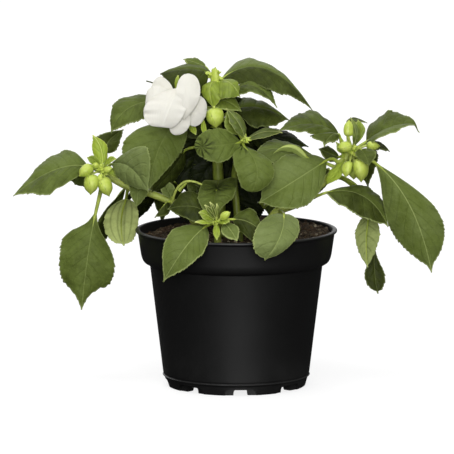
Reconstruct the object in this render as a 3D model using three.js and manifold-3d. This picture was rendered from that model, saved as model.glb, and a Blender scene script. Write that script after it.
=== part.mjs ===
// A potted busy lizzie (Impatiens) with a double white bloom, in millimetres, +Z up.
// The origin is the middle of the pot's underside, and the plant's widest view looks along +Y.
import * as THREE from "three";
import { mergeVertices } from "three/addons/utils/BufferGeometryUtils.js";
import Module from "manifold-3d";

const wasm = await Module();
wasm.setup();

// ---------- driving dimensions ----------
const CLEARANCE = 0.35;            // gap between pieces that rest against each other

const POT_HEIGHT = 94;
const POT_RIM_RADIUS = 60;
const POT_WALL = 1.4;
const POT_SIDES = 32;
const LIP_HEIGHT = 1.6;
const BAND_TOP_RADIUS = 58.6;
const BAND_LOW_RADIUS = 56.5;
const BAND_LOW_Z = 76;
const BODY_TOP_RADIUS = 51.5;
const BODY_TOP_Z = 73.6;
const BODY_LOW_RADIUS = 43.5;
const LEDGE_Z = 7.5;
const FOOT_RADIUS = 41.5;
const FOOT_INNER_RADIUS = 34;
const FLOOR_UNDERSIDE_Z = 4.6;
const CENTRE_PAD_RADIUS = 13;
const NOTCHES = 8;
const FIRST_NOTCH_ANGLE = -90 + 3.7;
const NOTCH_HEIGHT = 4.3;
const NOTCH_TOP_WIDTH = 7;
const NOTCH_FOOT_WIDTH = 14;
const DRAIN_HOLE_RADIUS = 3.2;
const DRAIN_HOLE_RING = 27;

const SOIL_TOP_Z = 87.5;
const SOIL_RINGS = 5;
const SOIL_SPOKES = 24;
const SOIL_CRUMB = 1.3;
const SOIL_TOP_RADIUS = 55.2;
const SOIL_SIDE_GAP = 1;           // the pot's wall has flat facets, which this clears

const BLADE_THICKNESS = 0.7;
const PETAL_THICKNESS = 0.8;
const TOOTH_DEPTH = 0.9;
const TAIL_WIDTH = 0.1;            // of a leaf's half width, where its slim tail begins
const SLIM_END = 0.5;              // half width of a blade at its base and at its tip
const PETIOLE_RADIUS = 1.15;
const PETIOLE_END_RADIUS = 0.75;

const LEAF_GREEN = 0x64783f;
const DEEP_GREEN = 0x48532d;
const YOUNG_GREEN = 0xb2c468;
const STEM_GREEN = 0x8f9f4c;
const PETAL_WHITE = 0xf0efe9;
const POT_BLACK = 0x232423;
const SOIL_BROWN = 0x2c1f18;

// ---------- solids ----------
const vector = (point) => new THREE.Vector3(...point);

function solidOf(geometry) {
  const bare = geometry.clone();
  bare.deleteAttribute("normal");
  bare.deleteAttribute("uv");
  const merged = mergeVertices(bare, 1e-4);
  const solid = new wasm.Manifold(new wasm.Mesh({
    numProp: 3,
    vertProperties: new Float32Array(merged.attributes.position.array),
    triVerts: new Uint32Array(merged.index.array),
  }));
  return solid;
}

function geometryOf(solid) {
  const mesh = solid.getMesh();
  const geometry = new THREE.BufferGeometry();
  geometry.setAttribute("position", new THREE.BufferAttribute(new Float32Array(mesh.vertProperties), 3));
  geometry.setIndex(new THREE.BufferAttribute(new Uint32Array(mesh.triVerts), 1));
  geometry.computeVertexNormals();
  return geometry;
}

function gridGeometry(points, triangles) {
  const geometry = new THREE.BufferGeometry();
  const numbers = points.flatMap((point) => point.toArray());
  geometry.setAttribute("position", new THREE.Float32BufferAttribute(numbers, 3));
  geometry.setIndex(triangles);
  return geometry;
}

const union = (solids) => wasm.Manifold.union(solids);

// The largest body of a solid: what a cut leaves loose is dropped.
function mainBody(solid) {
  const bodies = solid.decompose();
  return bodies.reduce((best, body) => (body.volume() > best.volume() ? body : best));
}

// ---------- stems, petioles and buds ----------
// A round tube along a smooth curve through the points, tapering from one radius to the other.
function tube(points, startRadius, endRadius, { sides = 6, step = 15, grow = 0 } = {}) {
  const curve = new THREE.CatmullRomCurve3(points.map(vector), false, "centripetal");
  const steps = Math.max(2, Math.round(curve.getLength() / step));
  const frames = curve.computeFrenetFrames(steps, false);
  const rings = [];
  for (let i = 0; i <= steps; i += 1) {
    const centre = curve.getPointAt(i / steps);
    if (i === 0) centre.addScaledVector(frames.tangents[i], -grow);
    if (i === steps) centre.addScaledVector(frames.tangents[i], grow);
    const radius = THREE.MathUtils.lerp(startRadius, endRadius, i / steps) + grow;
    for (let j = 0; j < sides; j += 1) {
      const angle = (2 * Math.PI * j) / sides;
      const point = centre.clone();
      point.addScaledVector(frames.normals[i], radius * Math.cos(angle));
      point.addScaledVector(frames.binormals[i], radius * Math.sin(angle));
      rings.push(point);
    }
  }
  const triangles = [];
  for (let i = 0; i < steps; i += 1) {
    for (let j = 0; j < sides; j += 1) {
      const next = (j + 1) % sides;
      const [a, b] = [i * sides + j, i * sides + next];
      triangles.push(a, b, b + sides, a, b + sides, a + sides);
    }
  }
  const last = steps * sides;
  for (let j = 1; j < sides - 1; j += 1) {
    triangles.push(0, j + 1, j);
    triangles.push(last, last + j, last + j + 1);
  }
  return solidOf(gridGeometry(rings, triangles));
}

// A bud: full near its base and drawn out to a beak at its tip.
const BUD_PROFILE = [[0, 0], [0.8, 0.12], [1, 0.42], [0.7, 0.76], [0, 1]];

function bud({ base, tip, radius }) {
  const axis = vector(tip).sub(vector(base));
  const length = axis.length();
  const outline = BUD_PROFILE.map(([across, along]) => new THREE.Vector2(across * radius, along * length));
  const geometry = new THREE.LatheGeometry(outline, 7);
  const turn = new THREE.Quaternion().setFromUnitVectors(new THREE.Vector3(0, 1, 0), axis.normalize());
  geometry.applyQuaternion(turn);
  geometry.translate(...base);
  return solidOf(geometry);
}

// ---------- blades ----------
// A leaf is held by five points: where its blade starts, the middle of its midrib, its tip, and
// its two edges where it is widest. Its upper face is the one from which, with the tip hanging
// down, `left` and `right` lie to the left and to the right.
function midrib({ base, middle, tip }) {
  const [start, through, end] = [base, middle, tip].map(vector);
  const control = through.multiplyScalar(2).addScaledVector(start, -0.5).addScaledVector(end, -0.5);
  return new THREE.QuadraticBezierCurve3(start, control, end);
}

// Share of the full width: a lens, widest at the belly, with a slim tail drawn out at its tip.
function widthAt(along, { belly, baseRound, tipRound, tail }) {
  const inLens = Math.min(1, along / (1 - tail));
  const shifted = inLens ** (Math.log(0.5) / Math.log(belly));
  const lens = Math.max(0, Math.sin(Math.PI * shifted)) ** (inLens < belly ? baseRound : tipRound);
  return along > 0.75 && tail > 0 ? Math.max(lens, (TAIL_WIDTH * (1 - along)) / tail) : lens;
}

const LEAF_FORM = {
  teeth: 5, belly: 0.46, baseRound: 0.8, tipRound: 0.8, tail: 0.07, puff: 0.12, wave: 0, tooth: TOOTH_DEPTH,
};

// The blade's middle surface: rows along the midrib, with a tooth at every second row.
function bladeSurface(leaf, grow) {
  const form = { ...LEAF_FORM, ...leaf };
  const rib = midrib(leaf);
  const widest = rib.getPoint(form.belly * (1 - form.tail));
  const sides = [vector(leaf.left).sub(widest), vector(leaf.right).sub(widest)];
  const upward = vector(leaf.tip).sub(vector(leaf.base));
  upward.cross(vector(leaf.right).sub(vector(leaf.left))).normalize();
  const inner = form.teeth > 6;
  const rows = 2 * form.teeth;
  const points = [];
  const cells = [];
  for (let row = 0; row <= rows; row += 1) {
    const along = row / rows;
    const centre = rib.getPoint(along);
    if (row === 0) centre.addScaledVector(rib.getTangent(0), -grow);
    if (row === rows) centre.addScaledVector(rib.getTangent(1), grow);
    const width = widthAt(along, form);
    const isTooth = row % 2 === 1;
    const place = (side, across) => {
      const half = sides[side];
      const toothed = isTooth && row > 1 ? form.tooth * Math.sqrt(width) : 0;
      const reach = (Math.max(SLIM_END, half.length() * width + toothed) + grow) * across;
      const lift = form.puff * half.length() * width * 4 * across * (1 - across)
        + form.wave * across * width * Math.sin(Math.PI * row * 0.75 + side * 2);
      const point = centre.clone().addScaledVector(half.clone().normalize(), reach);
      points.push(point.addScaledVector(upward, lift));
      return points.length - 1;
    };
    const cell = { edges: [place(0, 1), place(1, 1)] };
    if (!isTooth) {
      points.push(centre);
      cell.rib = points.length - 1;
      cell.inner = inner ? [place(0, 0.5), place(1, 0.5)] : [cell.rib, cell.rib];
    }
    cells.push(cell);
  }
  return { points, cells, inner, rows };
}

function bladeTriangles({ cells, inner, rows }) {
  const triangles = [];
  for (let row = 0; row < rows; row += 2) {
    const [near, tooth, far] = [cells[row], cells[row + 1], cells[row + 2]];
    for (const side of [0, 1]) {
      const strip = [
        [near.inner[side], near.edges[side], tooth.edges[side]],
        [near.inner[side], tooth.edges[side], far.inner[side]],
        [far.inner[side], tooth.edges[side], far.edges[side]],
      ];
      if (inner) {
        strip.push([near.rib, near.inner[side], far.inner[side]]);
        strip.push([near.rib, far.inner[side], far.rib]);
      }
      for (const [a, b, c] of strip) triangles.push(side === 0 ? [a, b, c] : [a, c, b]);
    }
  }
  return triangles;
}

function bladeOutline({ cells, inner, rows }) {
  const across = (cell) => (inner ? [cell.inner[0], cell.rib, cell.inner[1]] : [cell.rib]);
  const left = cells.map((cell) => cell.edges[0]);
  const right = cells.map((cell) => cell.edges[1]);
  return [...left, ...across(cells[rows]), ...right.reverse(), ...across(cells[0]).reverse()];
}

// The middle surface is thickened to both sides, with both faces split alike.
function blade(leaf, { thickness = BLADE_THICKNESS, grow = 0 } = {}) {
  const surface = bladeSurface(leaf, grow);
  const faces = bladeTriangles(surface);
  const { points } = surface;
  const normals = points.map(() => new THREE.Vector3());
  for (const face of faces) {
    const [a, b, c] = face.map((index) => points[index]);
    const normal = b.clone().sub(a).cross(c.clone().sub(a));
    for (const index of face) normals[index].add(normal);
  }
  const layer = (sign) => points.map((point, index) => (
    point.clone().addScaledVector(normals[index].clone().normalize(), sign * (thickness / 2 + grow))));
  const all = [...layer(1), ...layer(-1)];
  const shift = points.length;
  const triangles = faces.flatMap(([a, b, c]) => [a, b, c, a + shift, c + shift, b + shift]);
  const outline = bladeOutline(surface);
  outline.forEach((from, index) => {
    const to = outline[(index + 1) % outline.length];
    triangles.push(from, from + shift, to + shift, from, to + shift, to);
  });
  return solidOf(gridGeometry(all, triangles));
}

// A petiole runs from the stem into the first part of its blade's midrib.
function petiole(leaf, start, grow) {
  const rib = midrib(leaf);
  const route = [leaf.from ?? start, ...(leaf.bend ?? []), leaf.base, rib.getPoint(0.05).toArray()];
  const thick = leaf.petiole ?? PETIOLE_RADIUS;
  return tube(route, thick, thick * (PETIOLE_END_RADIUS / PETIOLE_RADIUS), { sides: 3, step: 14, grow });
}

function leafSolids(leaves, start, grow) {
  return leaves.flatMap((leaf) => {
    const stalk = petiole(leaf, start, grow);
    return [blade(leaf, { grow }), stalk];
  });
}

// A stem with its side stems and leaves, joined to one body.
function shootSolid(shoot, grow = 0) {
  const [low, high] = shoot.radii;
  const end = shoot.stem[shoot.stem.length - 1];
  const stems = [tube(shoot.stem, low, high, { grow })];
  for (const side of shoot.sideStems ?? []) stems.push(tube(side.route, ...side.radii, { sides: 5, grow }));
  return union([...stems, ...leafSolids(shoot.leaves, end, grow)]);
}

// The young growth at a stem's end: a knot with buds on stalks and young leaves.
function tipSolid(tip) {
  const knot = new THREE.IcosahedronGeometry(tip.knotRadius, 0).translate(...tip.knot);
  const buds = tip.buds.flatMap((one) => [
    bud(one), tube([tip.knot, one.base, midPoint(one.base, one.tip)], 0.7, 0.7, { sides: 3 })]);
  return union([solidOf(knot), ...buds, ...tip.leaves.map((leaf) => blade(leaf))]);
}

function midPoint(from, to) {
  return vector(from).lerp(vector(to), 0.4).toArray();
}

// A leaf spreading from a stem at an angle round it: it rises, arches over and hangs.
function spreadLeaf({ name, from, angle, reach, rise, drop, width, teeth = 4, ...form }) {
  const turn = THREE.MathUtils.degToRad(angle);
  const away = new THREE.Vector3(Math.cos(turn), Math.sin(turn), 0);
  const aside = new THREE.Vector3(-Math.sin(turn), Math.cos(turn), 0);
  const at = (out, up, across = 0) => vector(from).addScaledVector(away, out * reach)
    .addScaledVector(aside, across).add(new THREE.Vector3(0, 0, up)).toArray();
  return {
    name,
    from,
    base: at(0.3, rise * 0.8),
    middle: at(0.68, rise * 0.9),
    tip: at(1, rise - drop),
    left: at(0.62, rise + width * 0.03, width / 2),
    right: at(0.62, rise + width * 0.03, -width / 2),
    teeth,
    ...form,
  };
}

// ---------- the plant's hand-set shape ----------
const SHOOTS = {
  main_shoot: {
    stem: [[-10, 0, 74], [-10, 0, 88], [-10, 0, 111], [-11, -1, 132], [-11, -1, 153],
      [-12, 0, 171], [-13, 0, 186]],
    radii: [4, 2.3],
    leaves: [
      { name: "top_left", from: [-12.5, 0, 184], base: [-16, 0, 187], middle: [-29, -4, 192],
        tip: [-44, -8, 187], left: [-26, 12, 195], right: [-30, -18, 178] },
      { name: "top_right", from: [-12.5, 0, 180], base: [-8, 0, 184], middle: [18, -4, 190],
        tip: [45, -14, 166], left: [16, -17, 180], right: [12, 15, 193], teeth: 6 },
      { name: "upper_right", from: [-12, 0, 166], base: [-6, -2, 172], middle: [8, -13, 177],
        tip: [25, -15, 165], left: [6, -24, 173], right: [12, -4, 180] },
      { name: "right_ribbed", from: [-12, 0, 159], base: [0, -2, 166], middle: [15, -6, 167],
        tip: [31, -7, 160], left: [12, -17, 157], right: [9, 8, 171] },
      { name: "bud_side", from: [-12, 0, 164], base: [-11, -6, 164], middle: [-4, -10, 167],
        tip: [3, -12, 162], left: [-8, -14, 163], right: [-5, -5, 170], teeth: 4 },
      { name: "far_left", from: [-12, 0, 165], base: [-39, -2, 171], middle: [-62, -8, 168],
        tip: [-74, -12, 153], left: [-67, 2, 172], right: [-57, -14, 161], teeth: 6 },
      { name: "under_bloom", from: [-11, -1, 155], base: [-35, -9, 160], middle: [-46, -24, 144],
        tip: [-51, -31, 122], left: [-66, -19, 148], right: [-31, -16, 145], teeth: 6,
        belly: 0.4, baseRound: 0.55, tipRound: 0.8 },
      { name: "under_bloom_dark", from: [-11, -1, 146], base: [-30, -4, 142], middle: [-39, -16, 130],
        tip: [-50, -24, 119], left: [-46, -22, 130], right: [-34, -8, 127] },
      spreadLeaf({ name: "back_top", from: [-12, 0, 168],
        angle: 96, reach: 52, rise: 8, drop: 22, width: 30 }),
      spreadLeaf({ name: "back_upper_left", from: [-11, -1, 158],
        angle: 128, reach: 48, rise: 3, drop: 22, width: 28 }),
      spreadLeaf({ name: "back_upper_right", from: [-11, -1, 148],
        angle: 58, reach: 52, rise: 3, drop: 24, width: 30 }),
      spreadLeaf({ name: "back_middle", from: [-11, -1, 128],
        angle: 86, reach: 48, rise: 4, drop: 20, width: 30 }),
      { name: "shade_left", from: [-11, 0, 146], base: [-14, 3, 148], middle: [-24, 4, 137],
        tip: [-28, 4, 113], left: [-39, 2, 134], right: [-9, 5, 137] },
      { name: "shade_right", from: [-11, 0, 134], base: [-6, 4, 134], middle: [3, 7, 122],
        tip: [8, 7, 104], left: [-8, 6, 119], right: [17, 7, 122] },
    ],
  },
  middle_shoot: {
    stem: [[2, -14, 75], [2, -14, 90], [0, -9, 109], [-1, -9, 127], [1, -14, 140], [4, -23, 150]],
    radii: [2.6, 1.9],
    leaves: [
      { name: "left_round", base: [1, -25, 148], middle: [-12, -34, 147], tip: [-25, -33, 146],
        left: [-13, -25, 156], right: [-10, -38, 138], baseRound: 0.6, tipRound: 0.5, tail: 0.03 },
      { name: "lower_round", base: [4, -27, 147], middle: [12, -41, 136], tip: [9, -43, 121],
        left: [-1, -38, 137], right: [22, -37, 135], baseRound: 0.6, tipRound: 0.5, tail: 0.03 },
      { name: "right_dark", base: [9, -12, 150], middle: [22, 2, 149], tip: [43, 8, 142],
        left: [20, -3, 143], right: [24, 12, 152] },
      { name: "upper_folded", base: [2, -23, 153], middle: [-2, -22, 159], tip: [-5, -21, 168],
        left: [2, -19, 161], right: [-6, -25, 157], teeth: 4 },
    ],
  },
  left_shoot: {
    stem: [[-22, -8, 75], [-22, -8, 89], [-27, -10, 103], [-36, -10, 110], [-53, -10, 117],
      [-64, -9, 120], [-72, -8, 124], [-78, -7, 128]],
    radii: [2.7, 1.9],
    sideStems: [
      { route: [[-36, -10, 109], [-37, -12, 113], [-39, -14, 116]], radii: [1.5, 1] },
    ],
    leaves: [
      { name: "far_reach", base: [-87, -6, 132], middle: [-108, -8, 129], tip: [-132, -10, 115],
        left: [-105, 6, 139], right: [-110, -22, 119], teeth: 6, tipRound: 1.05 },
      { name: "large_drop", bend: [[-80, -7, 119]], base: [-86, -10, 103], middle: [-88, -18, 78],
        tip: [-91, -16, 47], left: [-105, -12, 79], right: [-70, -12, 76], teeth: 7, petiole: 1.4,
        baseRound: 1, tipRound: 0.55, tail: 0.12 },
      { name: "pale_back", from: [-64, -9, 120], base: [-65, 6, 114], middle: [-69, 18, 101],
        tip: [-69, 22, 83], left: [-60, 21, 96], right: [-78, 17, 96], baseRound: 0.6, tipRound: 0.6 },
      { name: "dark_back", from: [-66, -9, 121], base: [-72, 4, 113], middle: [-80, 8, 98],
        tip: [-78, 12, 80], left: [-84, 7, 94], right: [-73, 10, 94] },
      { name: "broad_right", base: [-75, -14, 134], middle: [-63, -34, 135], tip: [-52, -44, 122],
        left: [-69, -29, 127], right: [-58, -40, 147], belly: 0.58, teeth: 6 },
      { name: "pointed_low", from: [-60, -10, 119], base: [-58, -18, 127], middle: [-58, -28, 120],
        tip: [-59, -30, 111], left: [-63, -26, 123], right: [-52, -24, 121], teeth: 4 },
      { name: "behind_knot", base: [-86, 0, 130], middle: [-93, 6, 126], tip: [-95, 8, 118],
        left: [-98, 8, 127], right: [-87, 10, 119], teeth: 4 },
      { name: "upper_dark", base: [-77, 2, 139], middle: [-76, 8, 145], tip: [-67, 10, 152],
        left: [-71, 8, 141], right: [-83, 7, 147], teeth: 4 },
      { name: "low_strip", from: [-52, -10, 117], base: [-50, 4, 115], middle: [-54, 14, 107],
        tip: [-59, 22, 96], left: [-59, 15, 107], right: [-50, 15, 107], teeth: 4 },
      { name: "side_dark", from: [-37, -12, 112], base: [-40, -20, 113], middle: [-43, -24, 111],
        tip: [-47, -27, 103], left: [-44, -26, 108], right: [-39, -23, 108], teeth: 3 },
      { name: "side_arch", from: [-38, -13, 115], base: [-32, -17, 122], middle: [-26, -18, 124],
        tip: [-18, -19, 119], left: [-26, -21, 122], right: [-25, -14, 125], teeth: 3 },
    ],
  },
  right_shoot: {
    stem: [[18, -16, 75], [18, -16, 90], [21, -19, 103], [26, -20, 108], [35, -16, 111],
      [48, -10, 120], [56, -8, 127], [63, -7, 135], [67, -6, 140]],
    radii: [3, 2.2],
    leaves: [
      { name: "front_large", from: [61, -7, 132], base: [56, -14, 137], middle: [35, -30, 129],
        tip: [12, -35, 114], left: [26, -19, 141], right: [46, -34, 117], teeth: 6,
        baseRound: 0.7, tipRound: 0.75 },
      { name: "inner_arch", from: [60, -7, 131], base: [52, -8, 137], middle: [32, -11, 145],
        tip: [14, -16, 144], left: [30, -17, 142], right: [30, -4, 149] },
      { name: "over_left", base: [62, -3, 149], middle: [44, -12, 157], tip: [24, -19, 153],
        left: [41, -24, 153], right: [46, 10, 161], teeth: 6 },
      { name: "over_left_low", from: [64, -7, 136], base: [58, -16, 145], middle: [54, -27, 148],
        tip: [51, -31, 144], left: [47, -28, 150], right: [57, -29, 145], teeth: 4 },
      { name: "over_right", base: [77, -4, 147], middle: [91, -5, 156], tip: [109, -4, 156],
        left: [92, -17, 153], right: [88, 12, 163], teeth: 6 },
      { name: "large_drop", base: [80, -11, 136], middle: [103, -20, 109], tip: [115, -18, 70],
        left: [85, -14, 107], right: [117, -12, 113], teeth: 7, petiole: 1.4 },
      { name: "low_arch", from: [34, -17, 110], base: [51, -18, 117], middle: [69, -24, 111],
        tip: [88, -20, 98], left: [67, -31, 107], right: [73, 0, 120], teeth: 6 },
      { name: "hanging_pale", from: [55, -8, 126], bend: [[62, 0, 125], [73, 6, 117]], base: [79, 2, 103],
        middle: [77, -3, 87], tip: [78, -3, 71], left: [85, 0, 91], right: [71, -4, 91] },
      { name: "hanging_dark", from: [56, -8, 127], bend: [[66, 8, 121], [78, 12, 110]], base: [83, 10, 92],
        middle: [83, 8, 74], tip: [85, 6, 54], left: [78, 7, 65], right: [89, 9, 67], belly: 0.6 },
      { name: "round_pale", from: [26, -20, 107], base: [28, -38, 109], middle: [25, -63, 101],
        tip: [16, -67, 85], left: [11, -63, 102], right: [35, -57, 101], baseRound: 0.55,
        tipRound: 0.6, teeth: 6, petiole: 1.3 },
      { name: "small_hanging", base: [74, -18, 144], middle: [77, -27, 138], tip: [77, -28, 131],
        left: [71, -24, 142], right: [83, -24, 142], teeth: 4 },
      { name: "small_right", base: [76, 2, 144], middle: [83, 2, 145], tip: [91, 2, 140],
        left: [83, -3, 142], right: [84, 6, 145], teeth: 3 },
      { name: "small_left", base: [61, -2, 137], middle: [56, -2, 139], tip: [49, -2, 142],
        left: [55, -7, 135], right: [56, 3, 142], teeth: 4 },
      { name: "behind_top", base: [66, 10, 150], middle: [69, 14, 157], tip: [78, 18, 155],
        left: [70, 9, 155], right: [67, 19, 157], teeth: 3 },
      spreadLeaf({ name: "back_low", from: [44, -12, 118],
        angle: 78, reach: 44, rise: 6, drop: 22, width: 26 }),
      spreadLeaf({ name: "back_outer", from: [62, -7, 134],
        angle: 66, reach: 42, rise: 4, drop: 24, width: 24 }),
    ],
  },
  front_shoot: {
    stem: [[-11, -28, 76], [-11, -28, 90], [-11, -33, 99], [-11, -37, 104]],
    radii: [2.4, 2],
    leaves: [
      { name: "over_rim_left", base: [-18, -40, 101], middle: [-29, -63, 94], tip: [-42, -62, 72],
        left: [-41, -55, 98], right: [-22, -68, 90], teeth: 6, baseRound: 0.6, tipRound: 0.75 },
      { name: "left_dark", base: [-17, -36, 108], middle: [-27, -38, 112], tip: [-40, -32, 109],
        left: [-27, -46, 105], right: [-27, -25, 119], teeth: 6 },
      { name: "middle_heart", bend: [[-13, -24, 115]], base: [-13, -22, 127], middle: [-10, -40, 121],
        tip: [-6, -47, 112], left: [-21, -33, 123], right: [0, -31, 125], belly: 0.4,
        baseRound: 0.4, tipRound: 0.6 },
      { name: "right_flat", base: [-3, -42, 106], middle: [7, -46, 107], tip: [8, -53, 95],
        left: [1, -52, 102], right: [12, -36, 112], teeth: 6 },
      { name: "small_right", base: [-7, -44, 103], middle: [-4, -52, 100], tip: [0, -55, 95],
        left: [-9, -52, 99], right: [-1, -49, 102], teeth: 4 },
    ],
  },
  back_left_shoot: {
    stem: [[-20, 22, 72], [-20, 22, 92], [-24, 26, 105], [-29, 32, 118]],
    radii: [2.6, 1.9],
    leaves: [
      spreadLeaf({ name: "outer_left", from: [-28, 31, 115],
        angle: 168, reach: 42, rise: 4, drop: 24, width: 26 }),
      spreadLeaf({ name: "outer_back", from: [-28, 31, 114],
        angle: 112, reach: 46, rise: 2, drop: 30, width: 28 }),
      spreadLeaf({ name: "inner_front", from: [-29, 32, 117],
        angle: -100, reach: 22, rise: 8, drop: 4, width: 22 }),
      spreadLeaf({ name: "low_back", from: [-23, 25, 101],
        angle: 76, reach: 46, rise: 9, drop: 10, width: 24 }),
    ],
  },
  back_right_shoot: {
    stem: [[10, 26, 72], [10, 26, 92], [14, 30, 103], [20, 36, 114]],
    radii: [2.5, 1.8],
    leaves: [
      spreadLeaf({ name: "outer_right", from: [19, 35, 112],
        angle: 8, reach: 32, rise: 8, drop: 10, width: 22 }),
      spreadLeaf({ name: "outer_back", from: [19, 35, 111],
        angle: 84, reach: 40, rise: 3, drop: 30, width: 26 }),
      spreadLeaf({ name: "inner_front", from: [20, 36, 113],
        angle: -70, reach: 24, rise: 10, drop: 4, width: 20 }),
      spreadLeaf({ name: "low_back", from: [14, 29, 100],
        angle: 40, reach: 46, rise: 9, drop: 10, width: 22 }),
    ],
  },
};

const TIPS = {
  main_shoot_tip: {
    on: "main_shoot",
    knot: [-12, -7, 180],
    knotRadius: 2.6,
    leaves: [
      { name: "curled_left", base: [-13, -8, 181], middle: [-15, -14, 178], tip: [-16, -14, 169],
        left: [-21, -11, 178], right: [-10, -15, 177], teeth: 4, tooth: 0.5 },
      { name: "curled_right", base: [-11, -8, 180], middle: [-4, -14, 181], tip: [1, -17, 175],
        left: [-7, -18, 176], right: [-1, -10, 183], teeth: 4, tooth: 0.5 },
    ],
    buds: [{ base: [-12, -18, 166], tip: [-12, -25, 157], radius: 4.6 }],
  },
  middle_shoot_tip: {
    on: "middle_shoot",
    knot: [5, -27, 151],
    knotRadius: 2.4,
    leaves: [
      { name: "light_right", base: [6, -27, 151], middle: [16, -25, 155], tip: [27, -23, 155],
        left: [16, -28, 153], right: [16, -22, 157], teeth: 4, tooth: 0.5 },
      { name: "light_up", base: [5, -28, 152], middle: [1, -28, 162], tip: [-5, -26, 171],
        left: [4, -26, 163], right: [-1, -30, 160], teeth: 4, tooth: 0.5 },
    ],
    buds: [],
  },
  left_shoot_buds: {
    on: "left_shoot",
    knot: [-80, -13, 131],
    knotRadius: 3.2,
    leaves: [
      { name: "young_upright", base: [-80, -12, 133], middle: [-82, -10, 144], tip: [-85, -9, 151],
        left: [-78, -9, 143], right: [-86, -9, 143], teeth: 4, tooth: 0.4 },
      { name: "young_right", base: [-79, -15, 133], middle: [-75, -19, 138], tip: [-71, -20, 139],
        left: [-75, -20, 136], right: [-75, -18, 140], teeth: 3, tooth: 0.3 },
    ],
    buds: [
      { base: [-85, -17, 133], tip: [-93, -21, 127], radius: 3.5 },
      { base: [-84, -17, 128], tip: [-85, -22, 116], radius: 4.2 },
      { base: [-79, -17, 127], tip: [-74, -20, 115], radius: 3.8 },
      { base: [-83, -17, 134], tip: [-85, -21, 134], radius: 1.8 },
    ],
  },
  right_shoot_buds: {
    on: "right_shoot",
    knot: [69, -13, 141],
    knotRadius: 3.2,
    leaves: [
      { name: "young_pointed", base: [69, -13, 143], middle: [70, -11, 154], tip: [68, -10, 163],
        left: [74, -10, 155], right: [67, -12, 155], teeth: 4, tooth: 0.4 },
    ],
    buds: [
      { base: [68, -14, 148], tip: [66, -13, 159], radius: 2.7 },
      { base: [66, -17, 145], tip: [60, -20, 145], radius: 3.6 },
      { base: [66, -17, 138], tip: [65, -21, 128], radius: 3 },
      { base: [72, -17, 137], tip: [74, -22, 125], radius: 4.3 },
      { base: [69, -13, 137], tip: [70, -13, 127], radius: 3 },
      { base: [76, -10, 145], tip: [82, -10, 144], radius: 2.6 },
    ],
  },
  front_shoot_tip: {
    on: "front_shoot",
    knot: [-11, -42, 106],
    knotRadius: 2.6,
    leaves: [
      { name: "lime_left", base: [-12, -43, 106], middle: [-18, -47, 108], tip: [-21, -49, 108],
        left: [-18, -49, 107], right: [-18, -45, 110], teeth: 3, tooth: 0.3 },
      { name: "pale_narrow", base: [-12, -43, 105], middle: [-19, -49, 104], tip: [-23, -50, 105],
        left: [-19, -50, 103], right: [-19, -48, 106], teeth: 3, tooth: 0.2 },
      { name: "lime_down", base: [-11, -43, 105], middle: [-11, -51, 99], tip: [-11, -53, 95],
        left: [-13, -50, 99], right: [-9, -50, 99], teeth: 3, tooth: 0.3 },
      { name: "young_up", base: [-12, -43, 107], middle: [-15, -46, 114], tip: [-18, -46, 118],
        left: [-14, -48, 115], right: [-16, -44, 113], teeth: 3, tooth: 0.2 },
    ],
    buds: [{ base: [-7, -46, 107], tip: [-3, -50, 111], radius: 2.4 }],
  },
};

// The bloom's petals overlap round a green cup, and the hindmost come first.
const PETAL_FORM = {
  teeth: 4, belly: 0.55, baseRound: 0.5, tipRound: 0.4, tail: 0, puff: 0.1, wave: 0.5, tooth: 0.4,
};

const PETALS = [
  { name: "back_left", base: [-36, -21, 166], middle: [-42, -24, 177], tip: [-44, -23, 189],
    left: [-33, -22, 179], right: [-54, -20, 180] },
  { name: "upright", base: [-34, -23, 165], middle: [-30, -29, 177], tip: [-28, -26, 190],
    left: [-20, -24, 180], right: [-37, -26, 180] },
  { name: "right", base: [-34, -23, 165], middle: [-25, -31, 165], tip: [-17, -28, 165],
    left: [-23, -31, 154], right: [-21, -25, 177] },
  { name: "left", base: [-35, -24, 166], middle: [-45, -31, 166], tip: [-56, -29, 164],
    left: [-48, -26, 179], right: [-45, -34, 153] },
  { name: "bottom", base: [-34, -26, 163], middle: [-34, -34, 157], tip: [-37, -34, 149],
    left: [-42, -33, 156], right: [-28, -33, 157] },
  { name: "front", base: [-31, -26, 174], middle: [-40, -39, 168], tip: [-50, -40, 157],
    left: [-49, -36, 175], right: [-35, -43, 156] },
  { name: "front_right", base: [-36, -24, 172], middle: [-30, -38, 167], tip: [-25, -38, 156],
    left: [-36, -40, 161], right: [-22, -34, 168] },
];
const BLOOM_CENTRE = [-34, -20, 165];
const BLOOM_CORE_RADIUS = 4;

const CALYX = {
  knot: [-33, -15, 163],
  knotRadius: 4.4,
  leaves: [
    { name: "sepal_low", base: [-31, -17, 161], middle: [-26, -24, 155], tip: [-24, -27, 151],
      left: [-23, -23, 155], right: [-29, -24, 154], teeth: 3, tooth: 0.2 },
    { name: "sepal_right", base: [-30, -16, 163], middle: [-21, -24, 156], tip: [-19, -27, 152],
      left: [-19, -22, 157], right: [-24, -25, 154], teeth: 3, tooth: 0.2 },
  ],
  stalk: [[-12, 0, 157], [-20, -4, 165], [-28, -10, 165], [-33, -14, 163]],
  spur: [[-34, -13, 161], [-37, -4, 157], [-36, 3, 150]],
};

function bloomSolid(grow) {
  const core = new THREE.IcosahedronGeometry(BLOOM_CORE_RADIUS + grow, 0).translate(...BLOOM_CENTRE);
  const size = { thickness: PETAL_THICKNESS, grow };
  const petals = PETALS.map((petal) => blade({ ...PETAL_FORM, ...petal }, size));
  return union([solidOf(core), ...petals]);
}

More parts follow.
